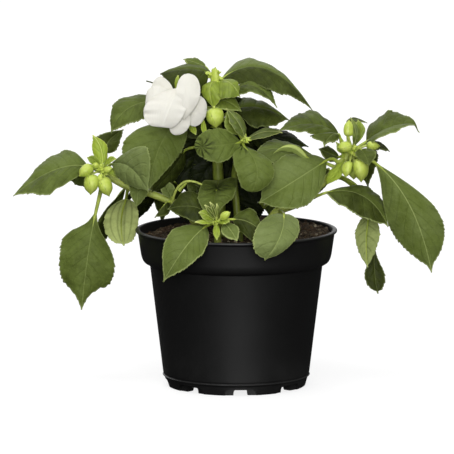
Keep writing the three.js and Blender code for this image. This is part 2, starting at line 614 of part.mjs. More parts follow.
// The green cup behind the petals, with its sepals, its stalk from the stem and its thin spur.
function calyxSolid(grow) {
  const cup = new THREE.IcosahedronGeometry(CALYX.knotRadius + grow, 0).translate(...CALYX.knot);
  const stalk = tube(CALYX.stalk, 1, 1.2, { sides: 4, grow });
  const spur = tube(CALYX.spur, 1.1, 0.5, { sides: 4, grow });
  const sepals = CALYX.leaves.map((sepal) => blade(sepal, { grow }));
  return union([solidOf(cup), stalk, spur, ...sepals]);
}

// ---------- pot and soil ----------
function potGeometry() {
  const outline = [
    [FOOT_RADIUS, 0], [FOOT_RADIUS + 0.9, 5], [BODY_LOW_RADIUS, LEDGE_Z], [BODY_TOP_RADIUS, BODY_TOP_Z],
    [BAND_LOW_RADIUS - 2.4, BODY_TOP_Z + 0.6], [BAND_LOW_RADIUS, BAND_LOW_Z + 0.6],
    [BAND_TOP_RADIUS, POT_HEIGHT - LIP_HEIGHT - 0.6], [POT_RIM_RADIUS, POT_HEIGHT - LIP_HEIGHT],
    [POT_RIM_RADIUS, POT_HEIGHT], [BAND_TOP_RADIUS - POT_WALL, POT_HEIGHT],
    [BAND_LOW_RADIUS - POT_WALL, BAND_LOW_Z + 1.6], [BODY_TOP_RADIUS - POT_WALL, BODY_TOP_Z + 1.4],
    [FOOT_RADIUS - POT_WALL, FLOOR_UNDERSIDE_Z + POT_WALL], [0, FLOOR_UNDERSIDE_Z + POT_WALL],
    [0, 0], [CENTRE_PAD_RADIUS, 0], [CENTRE_PAD_RADIUS + 1.6, FLOOR_UNDERSIDE_Z],
    [FOOT_INNER_RADIUS - 1.2, FLOOR_UNDERSIDE_Z], [FOOT_INNER_RADIUS, 0], [FOOT_RADIUS, 0],
  ];
  const lathe = new THREE.LatheGeometry(outline.map(([r, z]) => new THREE.Vector2(r, z)), POT_SIDES);
  lathe.rotateX(Math.PI / 2);
  let pot = solidOf(lathe);
  const gap = new THREE.Shape();
  gap.moveTo(-NOTCH_FOOT_WIDTH / 2, -1);
  gap.lineTo(NOTCH_FOOT_WIDTH / 2, -1);
  gap.quadraticCurveTo(NOTCH_TOP_WIDTH / 2, NOTCH_HEIGHT / 2, NOTCH_TOP_WIDTH / 2, NOTCH_HEIGHT);
  gap.lineTo(-NOTCH_TOP_WIDTH / 2, NOTCH_HEIGHT);
  gap.quadraticCurveTo(-NOTCH_TOP_WIDTH / 2, NOTCH_HEIGHT / 2, -NOTCH_FOOT_WIDTH / 2, -1);
  const cuts = [];
  for (let i = 0; i < NOTCHES; i += 1) {
    const turn = THREE.MathUtils.degToRad(FIRST_NOTCH_ANGLE + (360 * i) / NOTCHES);
    const notch = new THREE.ExtrudeGeometry(gap, { depth: 14, bevelEnabled: false, curveSegments: 2 });
    notch.rotateX(Math.PI / 2).translate(0, FOOT_INNER_RADIUS + 13, 0);
    notch.rotateZ(turn - Math.PI / 2);
    cuts.push(solidOf(notch));
    const hole = new THREE.CylinderGeometry(DRAIN_HOLE_RADIUS, DRAIN_HOLE_RADIUS, 8, 6);
    hole.rotateX(Math.PI / 2).translate(0, DRAIN_HOLE_RING, FLOOR_UNDERSIDE_Z);
    hole.rotateZ(turn - Math.PI / 2);
    cuts.push(solidOf(hole));
  }
  pot = pot.subtract(union(cuts));
  return geometryOf(pot);
}

// Crumbly ground: a sum of short waves in two directions.
function crumb(x, y) {
  return SOIL_CRUMB * (0.5 * Math.sin(0.31 * x + 0.8) * Math.cos(0.27 * y)
    + 0.35 * Math.sin(0.83 * x - 0.42 * y) + 0.3 * Math.cos(0.51 * x + 0.97 * y + 1.3));
}

function soilSolid() {
  const levels = [
    [FLOOR_UNDERSIDE_Z + POT_WALL + CLEARANCE, FOOT_RADIUS - POT_WALL - SOIL_SIDE_GAP],
    [BODY_TOP_Z + 1.4, BODY_TOP_RADIUS - POT_WALL - SOIL_SIDE_GAP],
    [BAND_LOW_Z + 3.4, BAND_LOW_RADIUS - POT_WALL - SOIL_SIDE_GAP],
    [SOIL_TOP_Z - 1, SOIL_TOP_RADIUS],
  ];
  const points = [new THREE.Vector3(0, 0, levels[0][0])];
  const ring = (radius, height) => {
    for (let j = 0; j < SOIL_SPOKES; j += 1) {
      const angle = (2 * Math.PI * j) / SOIL_SPOKES;
      const [x, y] = [radius * Math.cos(angle), radius * Math.sin(angle)];
      points.push(new THREE.Vector3(x, y, height(x, y)));
    }
  };
  for (const [z, radius] of levels) ring(radius, () => z);
  for (let i = 1; i < SOIL_RINGS; i += 1) {
    const radius = SOIL_TOP_RADIUS * (1 - i / SOIL_RINGS);
    ring(radius, (x, y) => SOIL_TOP_Z + 1.2 * (1 - radius / SOIL_TOP_RADIUS) + crumb(x, y));
  }
  points.push(new THREE.Vector3(0, 0, SOIL_TOP_Z + 1.2 + crumb(0, 0)));
  const rings = levels.length + SOIL_RINGS - 1;
  const index = (i, j) => 1 + i * SOIL_SPOKES + (j % SOIL_SPOKES);
  const triangles = [];
  for (let j = 0; j < SOIL_SPOKES; j += 1) {
    triangles.push(0, index(0, j + 1), index(0, j));
    triangles.push(points.length - 1, index(rings - 1, j), index(rings - 1, j + 1));
    for (let i = 0; i < rings - 1; i += 1) {
      triangles.push(index(i, j), index(i, j + 1), index(i + 1, j + 1));
      triangles.push(index(i, j), index(i + 1, j + 1), index(i + 1, j));
    }
  }
  return solidOf(gridGeometry(points, triangles));
}

// A plain upright hole in the soil round the foot of each stem.
function stemHole({ stem, radii }) {
  const [x, y, z] = stem[0];
  const radius = radii[0] + CLEARANCE + 0.4;
  const depth = SOIL_TOP_Z + 12 - z;
  const hole = new THREE.CylinderGeometry(radius, radius, depth, 8);
  hole.rotateX(Math.PI / 2).translate(x, y, z - CLEARANCE + depth / 2);
  return solidOf(hole);
}

// ---------- the assembled plant ----------
const group = new THREE.Group();

function addPiece(name, geometry, color, roughness) {
  const mesh = new THREE.Mesh(geometry, new THREE.MeshStandardMaterial({ color, roughness, metalness: 0 }));
  mesh.name = name;
  group.add(mesh);
}

const SHOOT_COLOURS = { main_shoot: LEAF_GREEN, back_left_shoot: DEEP_GREEN, back_right_shoot: DEEP_GREEN };

addPiece("pot", potGeometry(), POT_BLACK, 0.5);

const stemHoles = union(Object.values(SHOOTS).map(stemHole));
addPiece("soil", geometryOf(soilSolid().subtract(stemHoles)), SOIL_BROWN, 1);

const calyx = mainBody(calyxSolid(0).subtract(bloomSolid(CLEARANCE)));
const calyxSocket = calyxSolid(CLEARANCE);
const grown = {};
for (const [name, shoot] of Object.entries(SHOOTS)) {
  const solid = mainBody(shootSolid(shoot).subtract(calyxSocket));
  addPiece(name, geometryOf(solid), SHOOT_COLOURS[name] ?? LEAF_GREEN, 0.55);
  grown[name] = shootSolid(shoot, CLEARANCE);
}
for (const [name, tip] of Object.entries(TIPS)) {
  addPiece(name, geometryOf(mainBody(tipSolid(tip).subtract(grown[tip.on]))), YOUNG_GREEN, 0.5);
}

addPiece("bloom_calyx", geometryOf(calyx), STEM_GREEN, 0.5);
addPiece("bloom", geometryOf(mainBody(bloomSolid(0))), PETAL_WHITE, 0.6);

export default group;
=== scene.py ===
"""A busy lizzie with a double white bloom in its nursery pot: the finish over its solids.

Shapes are worked out in millimetres and scaled once, when a mesh is made. +Z is up, and the
bloom faces -Y.
"""
import math

import bpy
import numpy as np
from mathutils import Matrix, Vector, noise


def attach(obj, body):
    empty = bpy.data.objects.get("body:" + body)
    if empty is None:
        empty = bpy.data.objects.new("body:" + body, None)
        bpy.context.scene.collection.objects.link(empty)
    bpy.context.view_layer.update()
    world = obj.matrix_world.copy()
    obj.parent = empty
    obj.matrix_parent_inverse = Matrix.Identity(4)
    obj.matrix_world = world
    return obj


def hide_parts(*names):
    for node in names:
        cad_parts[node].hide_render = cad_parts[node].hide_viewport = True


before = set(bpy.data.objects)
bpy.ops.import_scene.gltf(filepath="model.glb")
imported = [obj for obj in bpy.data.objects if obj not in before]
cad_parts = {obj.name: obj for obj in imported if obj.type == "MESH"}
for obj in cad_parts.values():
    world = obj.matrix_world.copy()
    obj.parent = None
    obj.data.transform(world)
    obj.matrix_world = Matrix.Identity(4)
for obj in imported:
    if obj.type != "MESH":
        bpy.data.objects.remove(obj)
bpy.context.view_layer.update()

MM = 0.001
Z_UP = np.array((0.0, 0.0, 1.0))

# ---------- sizes, in millimetres ----------
POT_HEIGHT = 94
POT_RIM_RADIUS = 60
POT_WALL = 1.4
POT_SIDES = 160
LIP_HEIGHT = 1.6
BAND_TOP_RADIUS = 58.6
BAND_LOW_RADIUS = 56.5
BAND_LOW_Z = 76
BODY_TOP_RADIUS = 51.5
BODY_TOP_Z = 73.6
BODY_LOW_RADIUS = 43.5
LEDGE_Z = 7.5
FOOT_RADIUS = 41.5
FOOT_INNER_RADIUS = 34
FLOOR_UNDERSIDE_Z = 4.6
CENTRE_PAD_RADIUS = 13
NOTCHES = 8
FIRST_NOTCH_ANGLE = -90 + 3.7
NOTCH_WIDTH = 8.4
NOTCH_HEIGHT = 3.1
LUG_TOP_WIDTH = 13.5
LUG_FOOT_WIDTH = 19
LUG_HEIGHT = 4.4
LUG_DEPTH = 2.8
LUG_SLOPE = 0.1
DRAIN_HOLE_RADIUS = 3.2
DRAIN_HOLE_RING = 27

SOIL_TOP_Z = 87.5
SOIL_TOP_RADIUS = 56.3
SOIL_CRUMB = 1.1
SOIL_HEAP = 1.8
SOIL_LEAN = (0.03, 0.05)

BLADE_THICKNESS = 0.5
PETAL_THICKNESS = 0.45
TAIL_WIDTH = 0.1
SLIM_END = 0.45
TOOTH_PITCH = 2.8
TOOTH_DEPTH = 0.75
VEIN_PITCH = 7.5
PETIOLE_RADIUS = 1.1
PETIOLE_TAPER = 0.65


def srgb(red, green, blue):
    """A colour as the eye sees it, 0 to 255, as the linear colour a shader takes."""
    scaled = (red / 255, green / 255, blue / 255)
    return tuple(c / 12.92 if c <= 0.04045 else ((c + 0.055) / 1.055) ** 2.4 for c in scaled)


# ---------- shader maths ----------
class Value:
    """A shader value or colour. Arithmetic on it adds Math nodes."""

    def __init__(self, finish, socket):
        self.finish = finish
        self.socket = socket

    def math(self, operation, *others, clamp=False):
        settings = {"operation": operation, "use_clamp": clamp}
        return self.finish.node("ShaderNodeMath", settings, self, *others)

    def __add__(self, other):
        return self.math("ADD", other)

    __radd__ = __add__

    def __sub__(self, other):
        return self.math("SUBTRACT", other)

    def __rsub__(self, other):
        return self.finish.node("ShaderNodeMath", {"operation": "SUBTRACT"}, other, self)

    def __mul__(self, other):
        return self.math("MULTIPLY", other)

    __rmul__ = __mul__

    def __truediv__(self, other):
        return self.math("DIVIDE", other)

    def __pow__(self, other):
        return self.math("POWER", other)

    def fraction(self):
        return self.math("FRACT")

    def size(self):
        return self.math("ABSOLUTE")

    def clamp(self):
        return self.math("ADD", 0.0, clamp=True)

    def greater(self, other):
        return self.math("MAXIMUM", other)

    def rise(self, low, high):
        """0 below low, 1 above high and smooth between them."""
        settings = {"interpolation_type": "SMOOTHSTEP"}
        return self.finish.node("ShaderNodeMapRange", settings, self, low, high, 0.0, 1.0)

    def fall(self, low, high):
        settings = {"interpolation_type": "SMOOTHSTEP"}
        return self.finish.node("ShaderNodeMapRange", settings, self, low, high, 1.0, 0.0)


class Finish:
    """A material with one Principled shader, whose own sockets hold what is the same all over."""

    def __init__(self, name, **constants):
        self.material = bpy.data.materials.new(name)
        self.material.use_nodes = True
        self.tree = self.material.node_tree
        self.shader = self.tree.nodes["Principled BSDF"]
        for socket, value in constants.items():
            self.shader.inputs[socket.replace("_", " ")].default_value = value

    def plug(self, socket, value):
        if isinstance(value, Value):
            self.tree.links.new(value.socket, socket)
        elif socket.type == "RGBA" and len(value) == 3:
            socket.default_value = (*value, 1.0)
        else:
            socket.default_value = value

    def node(self, kind, settings, *values, output=0, **named):
        """Adds a node, sets it up, fills its sockets in order and by name, and gives one output."""
        node = self.tree.nodes.new(kind)
        for key, value in settings.items():
            setattr(node, key, value)
        for socket, value in zip(node.inputs, values):
            self.plug(socket, value)
        for key, value in named.items():
            self.plug(node.inputs[key.replace("_", " ")], value)
        return Value(self, node.outputs[output])

    def place(self):
        return self.node("ShaderNodeTexCoord", {}, output="Object")

    def attribute(self, name):
        """The three numbers of a vector attribute."""
        vector = self.node("ShaderNodeAttribute", {"attribute_name": name}, output="Vector")
        split = self.tree.nodes.new("ShaderNodeSeparateXYZ")
        self.tree.links.new(vector.socket, split.inputs[0])
        return [Value(self, socket) for socket in split.outputs]

    def noise(self, grain, detail=3.0, where=None, roughness=0.55):
        """Even noise about 0.5, whose grain is a size in millimetres."""
        return self.node(
            "ShaderNodeTexNoise", {}, output="Fac", Vector=where or self.place(),
            Scale=1 / (grain * MM), Detail=detail, Roughness=roughness,
        )

    def cells(self, grain, feature="DISTANCE_TO_EDGE", output="Distance", randomness=1.0):
        return self.node(
            "ShaderNodeTexVoronoi", {"feature": feature}, output=output, Vector=self.place(),
            Scale=1 / (grain * MM), Randomness=randomness,
        )

    def mix(self, factor, first, second):
        node = self.tree.nodes.new("ShaderNodeMix")
        node.data_type = "RGBA"
        node.clamp_factor = True
        self.plug(node.inputs[0], factor)
        self.plug(node.inputs[6], first)
        self.plug(node.inputs[7], second)
        return Value(self, node.outputs[2])

    def set(self, socket, value):
        self.plug(self.shader.inputs[socket], value)

    def bump(self, height, depth, strength=1.0):
        """Relief whose full height is a depth in millimetres."""
        normal = self.node(
            "ShaderNodeBump", {}, output="Normal", Strength=strength, Distance=depth * MM,
            Height=height,
        )
        self.set("Normal", normal)


# ---------- mesh building ----------
class Shape:
    """Gathers faces, with numbers at their points, into one mesh."""

    def __init__(self):
        self.points = []
        self.faces = []
        self.numbers = {}
        self.count = 0

    def add(self, points, faces, **numbers):
        """Points is an array of millimetres; each named number is an array for every point."""
        self.points.append(points)
        self.faces.extend(tuple(self.count + index for index in face) for face in faces)
        for name, values in numbers.items():
            self.numbers.setdefault(name, []).append((self.count, values))
        self.count += len(points)

    def build(self, name, finish):
        mesh = bpy.data.meshes.new(name)
        mesh.from_pydata((np.concatenate(self.points) * MM).tolist(), [], self.faces)
        for key, blocks in self.numbers.items():
            every = np.zeros((self.count, 3), np.float32)
            for start, values in blocks:
                every[start:start + len(values)] = values
            layer = mesh.attributes.new(key, "FLOAT_VECTOR", "POINT")
            layer.data.foreach_set("vector", every.ravel())
        mesh.polygons.foreach_set("use_smooth", [True] * len(mesh.polygons))
        mesh.materials.append(finish.material)
        mesh.validate()
        piece = bpy.data.objects.new(name, mesh)
        bpy.context.scene.collection.objects.link(piece)
        return piece


def unit(vector):
    vector = np.asarray(vector, float)
    length = np.linalg.norm(vector, axis=-1, keepdims=True)
    return vector / np.maximum(length, 1e-9)


def smooth(low, high, value):
    share = np.clip((value - low) / (high - low), 0, 1)
    return share * share * (3 - 2 * share)


def grid_faces(rows, columns, start=0, flip=False):
    """Quads of a grid of points, row after row."""
    faces = []
    for i in range(rows - 1):
        for j in range(columns - 1):
            a = start + i * columns + j
            quad = (a, a + columns, a + columns + 1, a + 1)
            faces.append(quad[::-1] if flip else quad)
    return faces


def smooth_path(points, step):
    """Points along a centripetal curve through the given ones, about a step apart."""
    points = [np.array(point, float) for point in points]
    ends = [2 * points[0] - points[1], *points, 2 * points[-1] - points[-2]]
    path = []
    for p0, p1, p2, p3 in zip(ends, ends[1:], ends[2:], ends[3:]):
        d0, d1, d2 = (max(np.linalg.norm(b - a) ** 0.5, 1e-3)
                      for a, b in ((p0, p1), (p1, p2), (p2, p3)))
        t1 = ((p1 - p0) / d0 - (p2 - p0) / (d0 + d1) + (p2 - p1) / d1) * d1
        t2 = ((p2 - p1) / d1 - (p3 - p1) / (d1 + d2) + (p3 - p2) / d2) * d1
        cubic = 2 * p1 - 2 * p2 + t1 + t2
        square = 3 * p2 - 3 * p1 - 2 * t1 - t2
        count = max(2, math.ceil(np.linalg.norm(p2 - p1) / step))
        for i in range(count):
            t = i / count
            path.append(p1 + t * (t1 + t * (square + t * cubic)))
    path.append(points[-1])
    return np.array(path)


# ---------- geometry trees ----------
class Growth:
    """A Geometry Nodes tree with named inputs, run on a carrier mesh and kept as a plain mesh."""

    def __init__(self, name, **inputs):
        self.tree = bpy.data.node_groups.new(name, "GeometryNodeTree")
        interface = self.tree.interface
        interface.new_socket("Geometry", in_out="INPUT", socket_type="NodeSocketGeometry")
        for key, kind in inputs.items():
            interface.new_socket(key, in_out="INPUT", socket_type=f"NodeSocket{kind}")
        interface.new_socket("Geometry", in_out="OUTPUT", socket_type="NodeSocketGeometry")
        self.start = self.tree.nodes.new("NodeGroupInput")
        self.end = self.tree.nodes.new("NodeGroupOutput")

    def given(self, name):
        return self.start.outputs[name]

    def node(self, kind, settings=None, output=0, **named):
        node = self.tree.nodes.new(kind)
        for key, value in (settings or {}).items():
            setattr(node, key, value)
        for key, value in named.items():
            socket = next(s for s in node.inputs if s.name == key.replace("_", " ") and s.enabled)
            if isinstance(value, bpy.types.NodeSocket):
                self.tree.links.new(value, socket)
            else:
                socket.default_value = value
        outputs = [socket for socket in node.outputs if socket.enabled]
        return outputs[output] if isinstance(output, int) else node.outputs[output]

    def number(self, name, kind="FLOAT"):
        return self.node("GeometryNodeInputNamedAttribute", {"data_type": kind}, Name=name)

    def finish(self, geometry):
        real = self.node("GeometryNodeRealizeInstances", Geometry=geometry)
        smoothed = self.node("GeometryNodeSetShadeSmooth", Geometry=real)
        painted = self.node(
            "GeometryNodeSetMaterial", Geometry=smoothed, Material=self.given("Material"))
        self.tree.links.new(painted, self.end.inputs[0])

    def run(self, name, carrier, **values):
        piece = bpy.data.objects.new(name, carrier)
        bpy.context.scene.collection.objects.link(piece)
        modifier = piece.modifiers.new("growth", "NODES")
        modifier.node_group = self.tree
        for item in self.tree.interface.items_tree:
            if item.in_out == "INPUT" and item.name in values:
                modifier[item.identifier] = values[item.name]
        graph = bpy.context.evaluated_depsgraph_get()
        mesh = bpy.data.meshes.new_from_object(piece.evaluated_get(graph))
        piece.modifiers.remove(modifier)
        piece.data = mesh
        return piece


def stem_growth():
    """Round tubes along the carrier's lines, as thick as their points say."""
    growth = Growth("stems", Sides="Int", Material="Material")
    lines = growth.node("GeometryNodeMeshToCurve", Mesh=growth.given("Geometry"))
    ring = growth.node("GeometryNodeCurvePrimitiveCircle", Resolution=growth.given("Sides"), Radius=1.0)
    tubes = growth.node(
        "GeometryNodeCurveToMesh", Curve=lines, Profile_Curve=ring, Scale=growth.number("thick"),
        Fill_Caps=True)
    growth.finish(tubes)
    return growth


def spine_growth():
    """One small shape at every point of the carrier, along that point's own direction."""
    growth = Growth("spines", Shape="Object", Material="Material")
    shape = growth.node(
        "GeometryNodeObjectInfo", output="Geometry", Object=growth.given("Shape"))
    aim = growth.node("FunctionNodeAlignRotationToVector", {"axis": "Z"},
                      Vector=growth.number("aim", "FLOAT_VECTOR"))
    placed = growth.node(
        "GeometryNodeInstanceOnPoints", Points=growth.given("Geometry"), Instance=shape,
        Rotation=aim, Scale=growth.number("span"))
    growth.finish(placed)
    return growth


def crumb_growth():
    """Loose bits strewn over the carrier's faces, turned and sized at random."""
    growth = Growth("crumbs", Shape="Object", Density="Float", Smallest="Float", Largest="Float",
                    Lean="Float", Seed="Int", Material="Material")
    spread = growth.tree.nodes.new("GeometryNodeDistributePointsOnFaces")
    growth.tree.links.new(growth.given("Geometry"), spread.inputs["Mesh"])
    growth.tree.links.new(growth.given("Density"), spread.inputs["Density"])
    growth.tree.links.new(growth.given("Seed"), spread.inputs["Seed"])
    shape = growth.node(
        "GeometryNodeObjectInfo", output="Geometry", Object=growth.given("Shape"))
    turn = growth.node(
        "FunctionNodeRandomValue", {"data_type": "FLOAT_VECTOR"}, Min=(-1.0, -1.0, -1.0),
        Max=(1.0, 1.0, 1.0), Seed=growth.given("Seed"))
    level = growth.node("ShaderNodeCombineXYZ", X=1.0, Y=1.0, Z=growth.given("Lean"))
    leaning = growth.node("ShaderNodeVectorMath", {"operation": "MULTIPLY"})
    growth.tree.links.new(turn, leaning.node.inputs[0])
    growth.tree.links.new(level, leaning.node.inputs[1])
    aim = growth.node("FunctionNodeAlignRotationToVector", {"axis": "Z"}, Vector=leaning)
    size = growth.node(
        "FunctionNodeRandomValue", {"data_type": "FLOAT"}, Min=growth.given("Smallest"),
        Max=growth.given("Largest"), Seed=growth.given("Seed"))
    placed = growth.node(
        "GeometryNodeInstanceOnPoints", Points=spread.outputs["Points"], Instance=shape,
        Rotation=aim, Scale=size)
    shade = growth.node(
        "FunctionNodeRandomValue", {"data_type": "FLOAT_VECTOR"}, Seed=growth.given("Seed"))
    named = growth.node(
        "GeometryNodeStoreNamedAttribute", {"data_type": "FLOAT_VECTOR", "domain": "INSTANCE"},
        Geometry=placed, Name="bit", Value=shade)
    growth.finish(named)
    return growth


STEM_GROWTH = stem_growth()
SPINE_GROWTH = spine_growth()
CRUMB_GROWTH = crumb_growth()


def point_carrier(name, points, edges=(), **numbers):
    """A mesh of bare points and lines that a geometry tree works from."""
    mesh = bpy.data.meshes.new(name)
    mesh.from_pydata((np.asarray(points) * MM).tolist(), list(edges), [])
    for key, values in numbers.items():
        values = np.asarray(values, np.float32)
        kind = "FLOAT" if values.ndim == 1 else "FLOAT_VECTOR"
        layer = mesh.attributes.new(key, kind, "POINT")
        layer.data.foreach_set("value" if values.ndim == 1 else "vector", values.ravel())
    return mesh


class Tubes:
    """Stems, stalks and ribs of one part of the plant, grown together as one mesh."""

    def __init__(self):
        self.points = []
        self.edges = []
        self.thick = []
        self.tone = []
        self.count = 0

    def add(self, path, radii, young=0.0):
        """Radii are spread evenly along the path. young paints the tube paler above 0 and darker below
        0, which on the shoots' stems is painted light and painted shade.
        """
        path = np.asarray(path, float)
        steps = np.linalg.norm(np.diff(path, axis=0), axis=1)
        along = np.concatenate([[0], np.cumsum(steps)])
        share = along / along[-1]
        radius = np.interp(share, np.linspace(0, 1, len(radii)), radii)
        self.points.extend(path)
        self.edges.extend((self.count + i, self.count + i + 1) for i in range(len(path) - 1))
        self.thick.extend(radius * MM)
        self.tone.extend((young, value, distance) for value, distance in zip(share, along))
        self.count += len(path)

    def build(self, name, finish, sides=12):
        carrier = point_carrier(
            name, self.points, self.edges, thick=self.thick, tone=self.tone)
        return STEM_GROWTH.run(name, carrier, Sides=sides, Material=finish.material)


# ---------- the plant's shape -------------------
# shade sets a leaf's green, from near-black through deep and mid green to pale: partly the leaf's own
# tone, partly painted shade and painted light set leaf by leaf for how light falls on it. split paints
# one half of a leaf darker than the other, as painted shade.
LEAF_FORM = {
    "belly": 0.46, "base_round": 0.8, "tip_round": 0.8, "tail": 0.05, "puff": 0.08, "wave": 0.0,
    "tooth": TOOTH_DEPTH, "petiole": PETIOLE_RADIUS, "ruffle": 0.05, "quilt": 0.23, "shade": 0.5,
    "young": 0.0, "cup": 0.0, "pleat": 0.0, "dome": 0.0, "hook": 0.0, "lobes": 0.0, "veins": 0,
    "split": 0.0, "line": 0.35, "star": None, "ribs": 0, "outline": None,
}


def leaf(name, base, middle, tip, left, right, start=None, bend=(), **form):
    """A leaf held by five points: its blade's start, the middle of its midrib, its tip, and its
    two edges where it is widest, left and right as seen with the tip hanging down."""
    points = {"base": base, "middle": middle, "tip": tip, "left": left, "right": right}
    points = {key: np.array(point, float) for key, point in points.items()}
    return {**LEAF_FORM, "name": name, **points, "start": start, "bend": bend, **form}


def spread_leaf(name, start, angle, reach, rise, drop, width, **form):
    """A leaf that leaves its stem at an angle round it, rises, arches over and hangs."""
    turn = math.radians(angle)
    away = np.array((math.cos(turn), math.sin(turn), 0))
    aside = np.array((-math.sin(turn), math.cos(turn), 0))

    def at(out, up, across=0.0):
        return np.array(start) + away * out * reach + aside * across + Z_UP * up

    return leaf(
        name, at(0.3, rise * 0.8), at(0.68, rise * 0.9), at(1, rise - drop),
        at(0.62, rise + width * 0.03, width / 2), at(0.62, rise + width * 0.03, -width / 2),
        start=start, **form)


def petal(*points, **form):
    return leaf(*points, **{**PETAL_FORM, **form})
